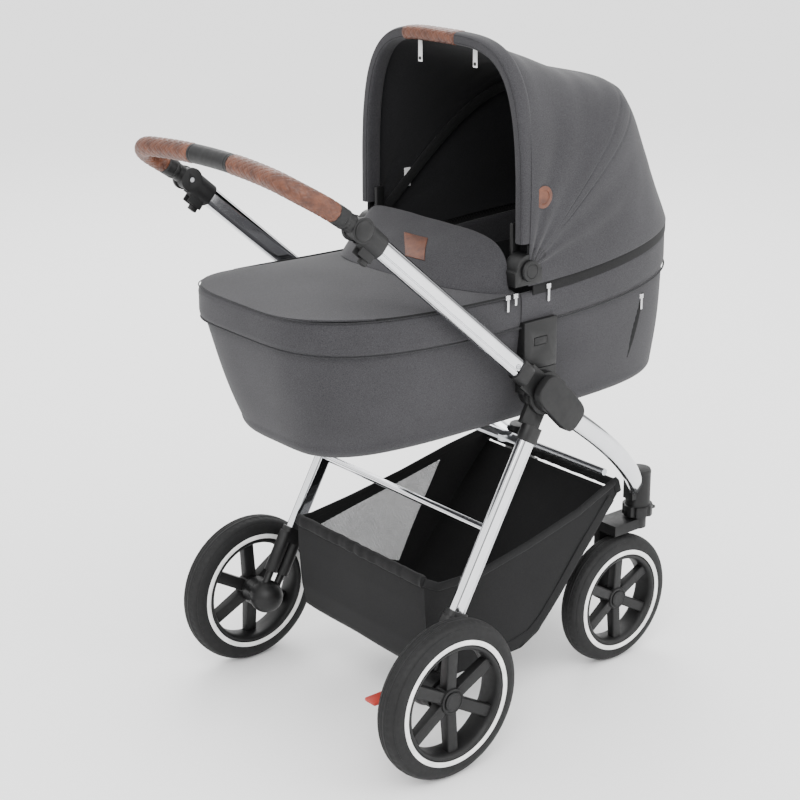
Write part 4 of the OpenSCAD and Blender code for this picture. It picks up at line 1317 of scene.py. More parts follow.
@dataclass
class Cot:
    """The carrycot: shell, padded band, apron, wind flap, zips, vent, mattress and lining."""

    layout: Layout
    rim: RimShape = field(default_factory=RimShape)
    base_z: float = 0.5395
    base_head: float = 0.428
    base_foot: float = -0.352
    base_half: float = 0.170
    base_power: float = 4.2
    base_round: float = 0.022
    turn_share: float = 0.25
    cloth: float = 0.004

    @property
    def base_middle(self) -> float:
        """X of the base's middle."""
        return (self.base_foot + self.base_head) / 2

    @property
    def base_reach(self) -> float:
        """Half of the base's length."""
        return (self.base_head - self.base_foot) / 2

    def shell_point(self, share: float, v: float) -> Vector:
        """A point of the outer shell: round the cot by share, up from the base by v."""
        angle = math.tau * share
        c, s = cos_sin(angle)
        top_x, top_y = self.rim.outline(share, 0.0045)
        power = 2 / self.base_power
        base_x = self.base_middle + self.base_reach * signed(c, power)
        base_y = self.base_half * signed(s, power)
        top_z = self.rim.lower(top_x) + 0.010
        if v < self.turn_share:
            turn = math.pi / 2 * v / self.turn_share
            shrink = self.base_round * (1 - math.sin(turn))
            x = base_x - shrink * (1 if base_x > 0 else -1) * min(abs(c) * 3, 1)
            y = base_y - shrink * (1 if base_y > 0 else -1) * min(abs(s) * 3, 1)
            return Vector((x, y, self.base_z + self.base_round * (1 - math.cos(turn))))
        rise = (v - self.turn_share) / (1 - self.turn_share)
        belly = 0.004 * math.sin(math.pi * rise)
        x = mix(base_x, top_x, rise) + belly * c
        y = mix(base_y, top_y, rise) + belly * s
        ripple = 0.0011 * noise.noise(Vector((x * 9, y * 9, rise * 2.5)))
        ripple += 0.0007 * math.sin(34 * x + 5 * y + 4 * rise) * math.sin(math.pi * rise)
        return Vector((x + ripple * c, y + ripple * s, mix(self.base_z + self.base_round, top_z, rise)))

    def shell(self) -> None:
        """Makes the cot's outer cloth, its bottom and its black lining."""
        wall = Bench.grid("cot_shell", 320, 44, self.shell_point)
        Bench.weld(wall)
        Bench.thicken(wall, self.cloth, 1.0)
        Bench.weld(wall)
        floor = self.plate("cot_floor", 0.010, self.base_z + 0.0008, 0.006)
        shell = Bench.join("cot_shell", [wall, floor])
        MELANGE.complete(shell, 50, "cot", "cot_body")

        def inner(u: float, v: float) -> Vector:
            spot = self.shell_point(u, self.turn_share + (1 - self.turn_share) * v)
            middle = Vector((self.rim.middle, 0, spot.z))
            offset = spot - middle
            pull = 0.0145
            offset.x -= math.copysign(min(pull, abs(offset.x)), offset.x)
            offset.y -= math.copysign(min(pull, abs(offset.y)), offset.y)
            return middle + offset + Vector((0, 0, 0.004 * v))

        lining = Bench.grid("cot_lining", 200, 24, inner)
        Bench.weld(lining)
        Bench.thicken(lining, 0.0015, 1.0)
        LINING.complete(lining, 60, "cot")
        log.info("cot shell and lining")

    def plate(self, name: str, inset: float, z: float, thick: float) -> Piece:
        """Makes a flat plate with the base's outline.

        Args:
            name: The piece's name.
            inset: How far inside the base's outline.
            z: Height of its lower face.
            thick: Its thickness.

        Returns:
            The plate.
        """
        power = 2 / self.base_power
        middle, reach = self.base_middle, self.base_reach - inset
        levels = [(0.0, 0.0), (1.0, 0.0), (1.0, thick), (0.0, thick)]

        def place(u: float, v: float) -> Vector:
            share, up = levels[round(v * 3)]
            c, s = cos_sin(math.tau * u)
            x = middle + share * reach * signed(c, power)
            y = share * (self.base_half - inset) * signed(s, power)
            return Vector((x, y, z + up))

        return Bench.closed(name, 120, 3, place)

    def band_point(self, share: float, v: float, thick: float) -> Vector:
        """A point of the padded band: round the rim by share, round its section by v.

        Args:
            share: Share round the rim, from the head over the left side.
            v: Share round the section.
            thick: Half of the padding's thickness.

        Returns:
            The point.
        """
        x, y = self.rim.outline(share)
        low, high = self.rim.lower(x), self.rim.upper(x)
        turn = math.tau * v
        c, s = cos_sin(turn)
        wave = 0.0008 * noise.noise(Vector((x * 14, y * 14, 3 * s))) * max(c, 0)
        spread = thick * signed(c, 0.75) - 0.0035 + wave
        out = self.rim.outward(share)
        return Vector((x, y, mix(low, high, (signed(s, 0.42) + 1) / 2))) + out * spread

    def band(self) -> None:
        """Makes the padded band round the rim: the foot part overlaps the head part at the sides."""
        pieces = []
        for name, lift, thick in (("head", 0.0, 0.0066), ("foot", 0.0018, 0.0078)):
            foot = name == "foot"
            edge = 0.046 if foot else 0.006
            columns = 300

            def place(u: float, v: float) -> Vector:
                column = round(u * columns)
                inner = min(max((column - 1) / (columns - 2), 0.0), 1.0)
                near = min(inner, 1 - inner)
                soft = ease(near, -0.0002, 0.012) if foot else 1.0
                share = self.share_at(foot, edge, inner)
                padding = thick * mix(0.35, 1, soft)
                spot = self.band_point(share, v, padding)
                if column in (0, columns):
                    ring = [self.band_point(share, k / 12, padding) for k in range(12)]
                    spot = sum(ring, Vector()) / 12
                if foot:
                    middle = (self.rim.lower(spot.x) + self.rim.upper(spot.x)) / 2
                    slant = 1 - ease(near, 0.0, 0.05)
                    spot.x += (0.62 * (middle - spot.z) - 9.0 * (middle - spot.z) ** 2) * slant
                return spot + self.rim.outward(share) * (lift * soft)

            pieces.append(Bench.closed("band_" + name, columns, 56, place))
        piece = Bench.join("cot_band", pieces)
        MELANGE.complete(piece, 60, "cot", "cot_rim")
        log.info("cot band")

    def share_at(self, foot: bool, edge: float, u: float) -> float:
        """Share round the rim for a point of the head part or the foot part of the band.

        Args:
            foot: Whether it is the foot part.
            edge: Where along X that part ends.
            u: Share along that part.

        Returns:
            The share round the whole rim, from the head over the left side.
        """
        start = self.rim.crossing(edge)
        if foot:
            return start + (1 - 2 * start) * u
        return (1 - start + 2 * start * u) % 1.0

    def piping(self) -> None:
        """Sews dark piping along the band's lower edge and round the apron."""
        lines = (
            ("cot_piping", lambda x: self.rim.lower(x) - 0.0002, -0.0030, 0.0016),
            ("apron_piping", lambda x: self.rim.upper(x) + 0.0005, -0.0044, 0.0010),
        )
        for name, height, inset, radius in lines:

            def place(u: float, v: float) -> Vector:
                share = u if name == "cot_piping" else self.share_at(True, -0.005, min(max(u, 0), 1))
                x, y = self.rim.outline(share, inset)
                turn = math.tau * v
                out = self.rim.outward(share) * (radius * math.cos(turn))
                return Vector((x, y, height(x) + radius * math.sin(turn))) + out

            piece = Bench.closed(name, 400, 10, place)
            PIPING.complete(piece, 60, "cot")

    def build(self) -> None:
        """Makes every piece of the cot."""
        self.shell()
        self.band()
        self.piping()
        self.mattress()
        self.apron()
        self.flap()
        self.side_zips()
        self.vents()

    def mattress(self) -> None:
        """Makes the mattress: a soft box, puffed by the cloth simulation."""
        low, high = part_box("mattress")
        inset, puff = 0.030, 0.006
        piece = self.plate("mattress_puffed", inset, low.z + puff / 2, high.z - low.z - puff)
        Bench.bevel(piece, 0.010, 4)
        Bench.select(piece)
        piece.data.remesh_voxel_size = 0.0062
        bpy.ops.object.voxel_remesh()
        Cushion.puff(piece, 3.0, 0.012)
        Cushion.seat(piece, low, high, 0.001)
        Bench.refine(piece)
        MATTRESS.complete(piece, 60, "cot", "mattress")
        log.info("mattress")

    def apron_height(self, x: float, y: float) -> float:
        """Height of the apron's cloth over the foot of the cot."""
        across = 1 - min(abs(y) / self.rim.half, 1.0) ** 3
        along = math.sin(math.pi / 2 * min(max((x - self.rim.foot) / 0.27, 0), 1))
        fold = 0.0030 * noise.noise(Vector((x * 8, y * 7, 1.7))) * across**0.5
        return self.rim.upper(x) + 0.0022 + (0.022 * along + fold) * across

    def apron(self) -> None:
        """Makes the apron's sheet, which closes the cot's foot half."""
        middle, reach, power = self.rim.middle, self.rim.reach + 0.001, self.rim.foot_power

        def place(u: float, v: float) -> Vector:
            x = mix(-0.004, self.rim.foot - 0.001, math.sin(v * math.pi / 2))
            c = min(abs(x - middle) / reach, 1.0)
            half = (self.rim.half + 0.001) * max(1 - c**power, 0.0) ** (1 / power)
            y = math.sin((u - 0.5) * math.pi) * half
            return Vector((x, y, self.apron_height(x, y)))

        piece = Bench.grid("apron_sewn", 100, 120, place)
        Bench.weld(piece)
        Bench.thicken(piece, 0.0030)
        Bench.weld(piece)
        MELANGE.complete(piece, 60, "cot", "apron")
        log.info("apron")

    def flap_point(self, u: float, v: float) -> Vector:
        """A point of the wind flap, across by u and from its seam on the apron up by v."""
        t = mix(-1, 1, u)
        bow = max(1 - abs(t) ** 2.6, 0) ** 0.62
        low_x, low_y = mix(-0.010, -0.135, bow), 0.197 * t
        low = Vector((low_x, low_y, self.apron_height(low_x, low_y) - 0.0015))
        crest = max(1 - abs(t) ** (4.4 if t < 0 else 14), 0) ** 0.34
        high = Vector((-0.002 - 0.012 * (1 - crest), 0.190 * t, mix(low.z + 0.004, 0.859, crest)))
        spot = low.lerp(high, v)
        swell = math.sin(math.pi * v) * crest
        spot += Vector((-0.002, 0, 0.0035)) * swell
        wave = 0.0024 * noise.noise(Vector((t * 3, v * 2, 4.2))) * crest
        return spot + Vector((-wave, 0, wave))

    def flap(self) -> None:
        """Makes the wind flap that stands up to the canopy's mouth, with its leather patch."""
        piece = Bench.grid("wind_flap_sewn", 120, 36, self.flap_point)
        Bench.weld(piece)
        Bench.thicken(piece, 0.0050, 0.0)
        Bench.bevel(piece, 0.0017, 3, 50)
        MELANGE.complete(piece, 60, "cot", "wind_flap")
        corners = ((0.564, 0.648), (0.413, 0.666), (0.419, 0.307), (0.305, 0.316))

        def patch(u: float, v: float) -> Vector:
            low = mix(corners[0][0], corners[1][0], u), mix(corners[0][1], corners[1][1], u)
            high = mix(corners[2][0], corners[3][0], u), mix(corners[2][1], corners[3][1], u)
            spot = self.flap_point(mix(low[0], high[0], v), mix(low[1], high[1], v))
            return spot + Vector((-0.0018, 0, 0.0026))

        leather = Bench.grid("flap_patch", 40, 30, patch)
        Bench.thicken(leather, 0.0014, 0.0)
        Bench.bevel(leather, 0.0005, 2, 50)
        LEATHER.complete(leather, 50, "cot")
        log.info("wind flap")

    def side_zips(self) -> None:
        """Sews the black zips that join the canopy to the cot's rim."""
        for side in Side:
            points = []
            for i in range(61):
                x = mix(-0.288, -0.004, i / 60)
                y = self.rim.outline(self.share_at(False, x, 1.0), -0.0030)[1]
                points.append(Vector((x, side.sign * y, self.rim.upper(x) + 0.0015)))
            path = Path(points)
            section = oval_section(0.0026, 0.0058, 3)
            tape = sweep(f"zip_tape_{side.word}", path, section, 20, 60, Vector((0, 0, 1)))
            BLACK_CLOTH.complete(tape, 50, "cot")
            spots = ((0.915, 0.022), (0.975, 0.014))
            pulls = [self.puller(path.at(place), side, drop) for place, drop in spots]
            pull = Bench.join(f"zip_pulls_{side.word}", pulls)
            Bench.bevel(pull, 0.0004, 2, 40)
            ZINC.complete(pull, 40, "cot")
        log.info("zips")

    @staticmethod
    def puller(spot: Vector, side: Side, drop: float) -> Piece:
        """Makes a zip's slider with its hanging tab.

        Args:
            spot: The slider's place.
            side: The side it faces.
            drop: Length of the tab.

        Returns:
            The slider with its tab.
        """
        out = Vector((0, side.sign * 0.0032, 0))
        body = Bench.block("slider", spot + out * 0.6, (0.0095, 0.0040, 0.0080))
        bridge = Bench.block("bridge", spot + out * 1.1, (0.0075, 0.0018, 0.0022))
        tab = Bench.block("tab", spot + out * 1.2 - Vector((0, 0, drop / 2 + 0.002)), (0.0048, 0.0012, drop))
        return Bench.join("puller", [body, bridge, tab])

    def vents(self) -> None:
        """Sews the black zips of the air vents on the sides near the head."""
        top, bottom = (0.317, 0.712), (0.291, 0.596)
        for side in Side:
            points = []
            for i in range(31):
                x, z = mix(top[0], bottom[0], i / 30), mix(top[1], bottom[1], i / 30)
                points.append(Vector((x, side.sign * self.side_y(x, z), z)))
            section = oval_section(0.0150, 0.0036, 4)
            outward = Vector((0, side.sign, 0))
            piece = sweep(f"vent_zip_{side.word}", Path(points), section, 20, 40, outward)
            BLACK_CLOTH.complete(piece, 50, "cot")
            top_spot = Vector((0.3165, side.sign * self.side_y(0.3165, 0.706), 0.706))
            pull = self.puller(top_spot, side, 0.022)
            pull.name = f"vent_pull_{side.word}"
            Bench.bevel(pull, 0.0004, 2, 40)
            ZINC.dress(pull)
            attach(pull, "cot")

    def side_y(self, x: float, z: float) -> float:
        """Distance of the shell's side from the middle plane at a place."""
        best = 0.0
        rise = min(max((z - self.base_z - self.base_round) / 0.165, 0), 1)
        for i in range(200):
            share = 0.02 + 0.46 * i / 199
            spot = self.shell_point(share, self.turn_share + (1 - self.turn_share) * rise)
            if abs(spot.x - x) < 0.006:
                best = max(best, spot.y)
        return best + 0.0010


class Cushion:
    """Puffs a closed mesh with Blender's cloth simulation."""

    @staticmethod
    def puff(piece: Piece, pressure: float, cap: float) -> None:
        """Runs the simulation under a small pressure and keeps every point near its start.

        Args:
            piece: A closed, evenly meshed piece.
            pressure: The pressure inside.
            cap: The furthest that a point may move.
        """
        before = [v.co.copy() for v in piece.data.vertices]
        Bench.select(piece)
        modifier = piece.modifiers.new("cloth", "CLOTH")
        settings = modifier.settings
        settings.quality = 6
        settings.mass = 0.2
        settings.use_pressure = True
        settings.uniform_pressure_force = pressure
        settings.effector_weights.gravity = 0
        modifier.collision_settings.use_collision = False
        modifier.collision_settings.use_self_collision = False
        scene = bpy.context.scene
        for frame in range(1, 21):
            scene.frame_set(frame)
        bpy.ops.object.modifier_apply(modifier=modifier.name)
        scene.frame_set(1)
        for vertex, start in zip(piece.data.vertices, before):
            move = vertex.co - start
            if move.length > cap:
                vertex.co = start + move * (cap / move.length)
        piece.data.update()

    @staticmethod
    def seat(piece: Piece, low: Vector, high: Vector, room: float) -> None:
        """Keeps every point inside a box that is grown by a little room."""
        for vertex in piece.data.vertices:
            for axis in range(3):
                vertex.co[axis] = min(max(vertex.co[axis], low[axis] - room), high[axis] + room)
        piece.data.update()


# ---------------------------------------------------------------- canopy


@dataclass
class Canopy:
    """The canopy: one cloth over a padded hoop and a second bow, with its small trimmings."""

    layout: Layout
    rim: RimShape = field(default_factory=RimShape)
    half: float = 0.2105
    last_angle: float = 90.0
    first_angle: float = 1.5
    bow_angle: float = 48.5
    arch_power: float = 4.1
    hoop_half: float = 0.2005
    hoop_reach: float = 0.3575
    hoop_start: float = 0.0045
    seam_gap: float = 2.6
    seam_half: float = 0.26

    reaches: ClassVar[tuple[Pair, ...]] = (
        (0, 0.352), (4, 0.351), (10, 0.342), (17, 0.337), (24, 0.336), (30, 0.341), (36, 0.354),
        (40, 0.365), (44, 0.381), (48, 0.391), (51, 0.391), (56, 0.390), (63, 0.388), (70, 0.392),
        (78, 0.404), (84, 0.420), (90, 0.438),
    )

    def reach(self, angle: float) -> float:
        """The cloth's distance from the hood's pivot in the middle plane, at an angle from the vertical."""
        table = self.reaches
        angle = min(max(angle, table[0][0]), table[-1][0])
        for i, ((a, ra), (b, rb)) in enumerate(zip(table, table[1:])):
            if angle <= b:
                before = table[i - 1][1] if i else ra
                after = table[i + 2][1] if i + 2 < len(table) else rb
                t = (angle - a) / (b - a)
                m0, m1 = (rb - before) / 2, (after - ra) / 2
                return ((2 * t**3 - 3 * t**2 + 1) * ra + (t**3 - 2 * t**2 + t) * m0
                        + (3 * t**2 - 2 * t**3) * rb + (t**3 - t**2) * m1)
        return table[-1][1]

    def arch(self, angle: float, share: float, inset: float = 0.0) -> Vector:
        """A point of the cloth's arch at an angle, from the left foot over the top to the right one.

        Args:
            angle: Degrees from the vertical, towards the head.
            share: Share of the arch from 0 to 1.
            inset: Distance moved inwards.

        Returns:
            The point.
        """
        hood = self.layout.hood
        back = ease(angle, 50, 95)
        power = mix(self.arch_power, 3.5, back)
        turn = math.pi * share
        c, s = cos_sin(turn)
        sag = self.between(angle) * 0.006
        half = self.half - inset - sag * (abs(s) ** 0.7) - 0.002 * back
        y = half * signed(c, 2 / power)
        rise = abs(s) ** (2 / power) * (self.reach(angle) - inset)
        radians = math.radians(angle)
        x = hood.x + rise * math.sin(radians)
        z = hood.z + rise * math.cos(radians)
        return Vector((x, y, z))

    def between(self, angle: float) -> float:
        """How far a place is from the bows, from 0 on a bow to 1 halfway between two."""
        share = angle / self.bow_angle
        if angle >= self.bow_angle:
            share = (angle - self.bow_angle) / (self.last_angle - self.bow_angle)
        return math.sin(math.pi * min(max(share, 0), 1))

    def folds(self, spot: Vector, angle: float, share: float) -> float:
        """Small folds of the cloth: long ones that fan out from the hood's pivots, and fine puckers."""
        side = abs(math.cos(math.pi * share))
        free = self.between(angle)
        fan = math.sin(math.radians(angle) * 17 + 1.5 * noise.noise(spot * 9)) * side**3 * free
        rolls = noise.noise(Vector((spot.x * 7, spot.y * 5, spot.z * 7)))
        tight = noise.noise(Vector((spot.x * 26, spot.y * 8, spot.z * 26)))
        near_bow = math.exp(-((angle - self.bow_angle) / 3.4) ** 2)
        pucker = math.sin(spot.y * 190 + 3 * rolls) * near_bow
        return 0.0016 * fan + 0.0034 * rolls * free + 0.0011 * tight * free + 0.0005 * pucker

    def cloth_point(self, u: float, v: float, inset: float = 0.0) -> Vector:
        """A point of the cloth: across the arch by u, from the hoop to the head by v."""
        angle = mix(self.first_angle, self.last_angle, v)
        spot = self.arch(angle, u, inset)
        outward = self.arch(angle, u, inset - 0.01) - spot
        if outward.length > 1e-9:
            spot += outward.normalized() * self.folds(spot, angle, u)
        before, after = self.bow_angle - self.seam_gap, self.bow_angle + self.seam_gap
        seam = min(abs(angle - before), abs(angle - after)) < self.seam_half
        if seam and outward.length > 1e-9:
            spot -= outward.normalized() * 0.0011
        return spot

    def sheet_point(self, u: float, v: float, inset: float = 0.0) -> Vector:
        """A point of the sheet between the hoop and the rim's zip at the head.

        Args:
            u: Share across, from the left foot over the top to the right one.
            v: Share along, from the hoop to the head.
            inset: Distance moved inwards.

        Returns:
            The point.
        """
        spot = self.cloth_point(u, v, inset)
        angle = mix(self.first_angle, self.last_angle, v)
        turn = math.pi * u
        c, s = cos_sin(turn)
        start = self.layout.hood.x
        reach = self.rim.head - start + 0.004 - inset
        x = start + reach * abs(s) ** (2 / 3.0)
        y = (self.rim.half + 0.0050 - inset) * signed(c, 2 / 3.0)
        target = Vector((x, y, self.rim.upper(x) + 0.0130))
        return spot.lerp(target, ease(angle, 74, self.last_angle) ** 1.3)

    def fan(self, piece: Piece) -> None:
        """Applies a piece's transform to its mesh; the piece rides on no body."""
        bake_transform(piece)

    def build(self) -> None:
        """Makes every piece of the canopy."""
        self.sheet()
        self.hoop()
        self.bow()
        self.grip()
        self.trimmings()
        self.head_zip()
        self.knobs()

    def sheet(self) -> None:
        """Makes the outer cloth and its black lining, both fanned between the hoop and the cot."""
        layers = (("canopy_cloth", 0.0, 0.0022, MELANGE), ("canopy_lining", 0.0048, 0.0012, LINING))
        for name, inset, thick, finish in layers:
            piece = Bench.grid(name, 260, 150, lambda u, v: self.sheet_point(u, v, inset))
            Bench.weld(piece)
            Bench.thicken(piece, thick, 1.0)
            Bench.shade(piece, 60)
            finish.dress(piece)
            self.fan(piece)
            log.info("canopy sheet %s", name)
            if name == "canopy_cloth":
                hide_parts("canopy_rear", "canopy_front")

    def arch_path(self, half: float, reach: float, angle: float, start: float) -> Path:
        """An arch's line, as a path.

        Args:
            half: Half of its width.
            reach: Its reach over the pivots.
            angle: Degrees from the vertical, towards the head.
            start: Share of the arch that is left out at each foot.

        Returns:
            The path from the left foot to the right one.
        """
        hood = self.layout.hood
        tilt = math.radians(angle)
        points = []
        for i in range(241):
            turn = math.pi * mix(start, 1 - start, i / 240)
            c, s = cos_sin(turn)
            rise = reach * abs(s) ** (2 / self.arch_power)
            points.append(Vector((
                hood.x + rise * math.sin(tilt), half * signed(c, 2 / self.arch_power),
                hood.z + rise * math.cos(tilt),
            )))
        return Path(points)

    def hoop(self) -> None:
        """Makes the padded hoop, with its seams."""
        path = self.arch_path(self.hoop_half, self.hoop_reach, 0, self.hoop_start)
        width, height = 0.0315, 0.0215

        def section(u: float, v: float) -> Pair:
            c, s = cos_sin(math.tau * u)
            swell = 1 + 0.02 * noise.noise(Vector((v * 22, c * 1.2, s * 1.2)))
            seam = 0.0011 if abs(abs(s) - 0.42) < 0.05 and c < 0 else 0.0
            a = (width / 2 - seam) * swell * signed(c, 0.62)
            b = (height / 2 - seam) * swell * signed(s, 0.62)
            return a, b

        def across(u: float, v: float) -> Pair:
            a, b = section(u, v)
            return b, a

        piece = sweep("hoop_padded", path, across, 64, 300, Vector((1, 0, 0)))
        MELANGE.complete(piece, 60, "hoop", "canopy_hoop")
        log.info("canopy hoop")

    def bow(self) -> None:
        """Makes the second bow in its black cloth channel."""
        path = self.arch_path(0.1975, 0.3655, self.bow_angle, 0.003)
        tilt = math.radians(self.bow_angle)
        normal = Vector((math.cos(tilt), 0, -math.sin(tilt)))
        piece = sweep("second_bow_channel", path, oval_section(0.008, 0.019, 2.6), 28, 220, normal)
        BLACK_CLOTH.complete(piece, 60, "second_bow", "canopy_bow")

    def grip(self) -> None:
        """Sews the quilted leather round the top of the hoop."""
        whole = self.arch_path(self.hoop_half, self.hoop_reach, 0, self.hoop_start)
        shares = [i / 400 for i in range(401)]
        low = min(shares, key=lambda s: abs(whole.at(s).y - 0.092) + (0 if s < 0.5 else 1))
        high = min(shares, key=lambda s: abs(whole.at(s).y + 0.041) + (0 if s > 0.5 else 1))
        path = whole.part(low, high, 60)
        length = path.length
        width, height = 0.0335, 0.0235

        def section(u: float, v: float) -> Pair:
            c, s = cos_sin(math.tau * u)
            puff = 0.0009 * quilt(u * 7, v * length / 0.0145)
            ends = 0.0010 * (1 - min(min(v, 1 - v) * length / 0.003, 1.0))
            x = (width / 2 + puff - ends) * signed(c, 0.62)
            z = (height / 2 + puff - ends) * signed(s, 0.62)
            return z, x

        piece = sweep("canopy_grip_quilted", path, section, 96, 180, Vector((1, 0, 0)))
        LEATHER.complete(piece, 60, "hoop", "canopy_grip")

    def trimmings(self) -> None:
        """Makes the hanging tabs, the leather tag on the side and the blank label inside."""
        top = 1.152
        for name, y, low in (("left", 0.080, 1.116), ("right", -0.060, 1.122)):
            tab = Bench.block("tab", (0.0305, y, (top + low) / 2), (0.0012, 0.0105, top - low))
            Bench.bevel(tab, 0.0005, 2, 30)
            ring = Bench.disc("ring", Vector((0.0297, y, low + 0.006)), Vector((1, 0, 0)), 0.0030, 0.0012, 24)
            LABEL.dress(tab)
            tab.name = f"canopy_tab_{name}"
            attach(tab, "hoop")
            BLACK.dress(ring)
            ring.name = f"canopy_tab_hole_{name}"
            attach(ring, "hoop")
        self.tag()
        label = Bench.block("canopy_label", (0.098, 0.1985, 0.888), (0.014, 0.0012, 0.034))
        Bench.bevel(label, 0.0004, 2, 30)
        LABEL.dress(label)
        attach(label, "cot")

    def head_zip(self) -> None:
        """Makes the zip that joins the cloth to the cot's rim round the head."""
        points = []
        for i in range(161):
            share = self.rim_share(0.030, i / 160)
            x, y = self.rim.outline(share, -0.0026)
            points.append(Vector((x, y, self.rim.upper(x) + 0.0042)))
        path = Path(points)
        tape = sweep("canopy_zip", path, oval_section(0.0024, 0.0205, 4), 20, 240, Vector((0, 0, 1)))
        BLACK_CLOTH.complete(tape, 50, "cot")
        teeth, count = [], 330
        for i in range(count):
            share = (i + 0.5) / count
            out = path.heading(share).cross(Vector((0, 0, 1)))
            lift = 0.0011 if i % 2 else -0.0011
            tooth = Bench.block("tooth", (0, 0, 0), (0.0015, 0.0017, 0.0032))
            turn = out.to_track_quat("X", "Z").to_matrix().to_4x4()
            spot = path.at(share) + out * 0.0014 + Vector((0, 0, lift + 0.0035))
            tooth.data.transform(Matrix.Translation(spot) @ turn)
            teeth.append(tooth)
        row = Bench.join("canopy_zip_teeth", teeth)
        BLACK.dress(row)
        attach(row, "cot")
        pulls = [Cot.puller(path.at(0.03), Side.LEFT, 0.024), Cot.puller(path.at(0.97), Side.RIGHT, 0.024)]
        pull = Bench.join("canopy_zip_pulls", pulls)
        Bench.bevel(pull, 0.0004, 2, 40)
        ZINC.dress(pull)
        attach(pull, "cot")

    def rim_share(self, edge: float, u: float) -> float:
        """Share round the rim between two points at one X, over the head."""
        return self.rim.crossing(edge) * (1 - 2 * u)

    def tag(self) -> None:
        """Makes the D-shaped leather tag on the right side of the canopy."""
        centre, radius, flat = Vector((0.047, 0, 0.929)), 0.0185, -0.0115
        levels = [(0.0, 0.0), (1.0, 0.0), (1.0, 1.0), (0.94, 1.25), (0.64, 1.3), (0.60, 0.75), (0.0, 0.75)]

        def place(u: float, v: float) -> Vector:
            share, lift = levels[round(v * 6)]
            turn = math.tau * u
            c, s = cos_sin(turn)
            x, z = max(radius * c, flat), radius * s
            return centre + Vector((x * share, -(self.half - 0.0012 + 0.0022 * lift), z * share))

        piece = Bench.closed("canopy_tag", 64, 6, place)
        Bench.shade(piece, 35)
        LEATHER.dress(piece)
        self.fan(piece)

    def knobs(self) -> None:
        """Makes the canopy's knobs, their arms and the blocks on the cot's rim."""
        for node, body in (("canopy_knobs", "hoop"), ("canopy_mounts", "cot"), ("cot_adapters", "cot")):
            BLACK.round_off(node, body, 0.0016)
        for side in Side:
            SOFT_BLACK.round_off(f"cot_button_{side.word}", f"cot_button_{side.letter}", 0.0010)
        hood = self.layout.hood
        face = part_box("canopy_knobs")[1].y
        rings = [(0.0, -0.001), (0.0172, -0.001), (0.0178, 0.0), (0.0170, 0.0016), (0.0128, 0.0020),
                 (0.0122, 0.0012), (0.0114, 0.0012), (0.0106, 0.0022), (0.0, 0.0028)]
        for side in Side:

            def place(u: float, v: float) -> Vector:
                radius, out = rings[round(v * 8)]
                turn = math.tau * u
                x, z = hood.x + radius * math.cos(turn), hood.z + radius * math.sin(turn)
                return Vector((x, side.sign * (face + out), z))

            cap = Bench.closed(f"knob_cap_{side.word}", 56, 8, place)
            SOFT_BLACK.complete(cap, 35, "hoop")
        log.info("canopy knobs")


# ---------------------------------------------------------------- basket


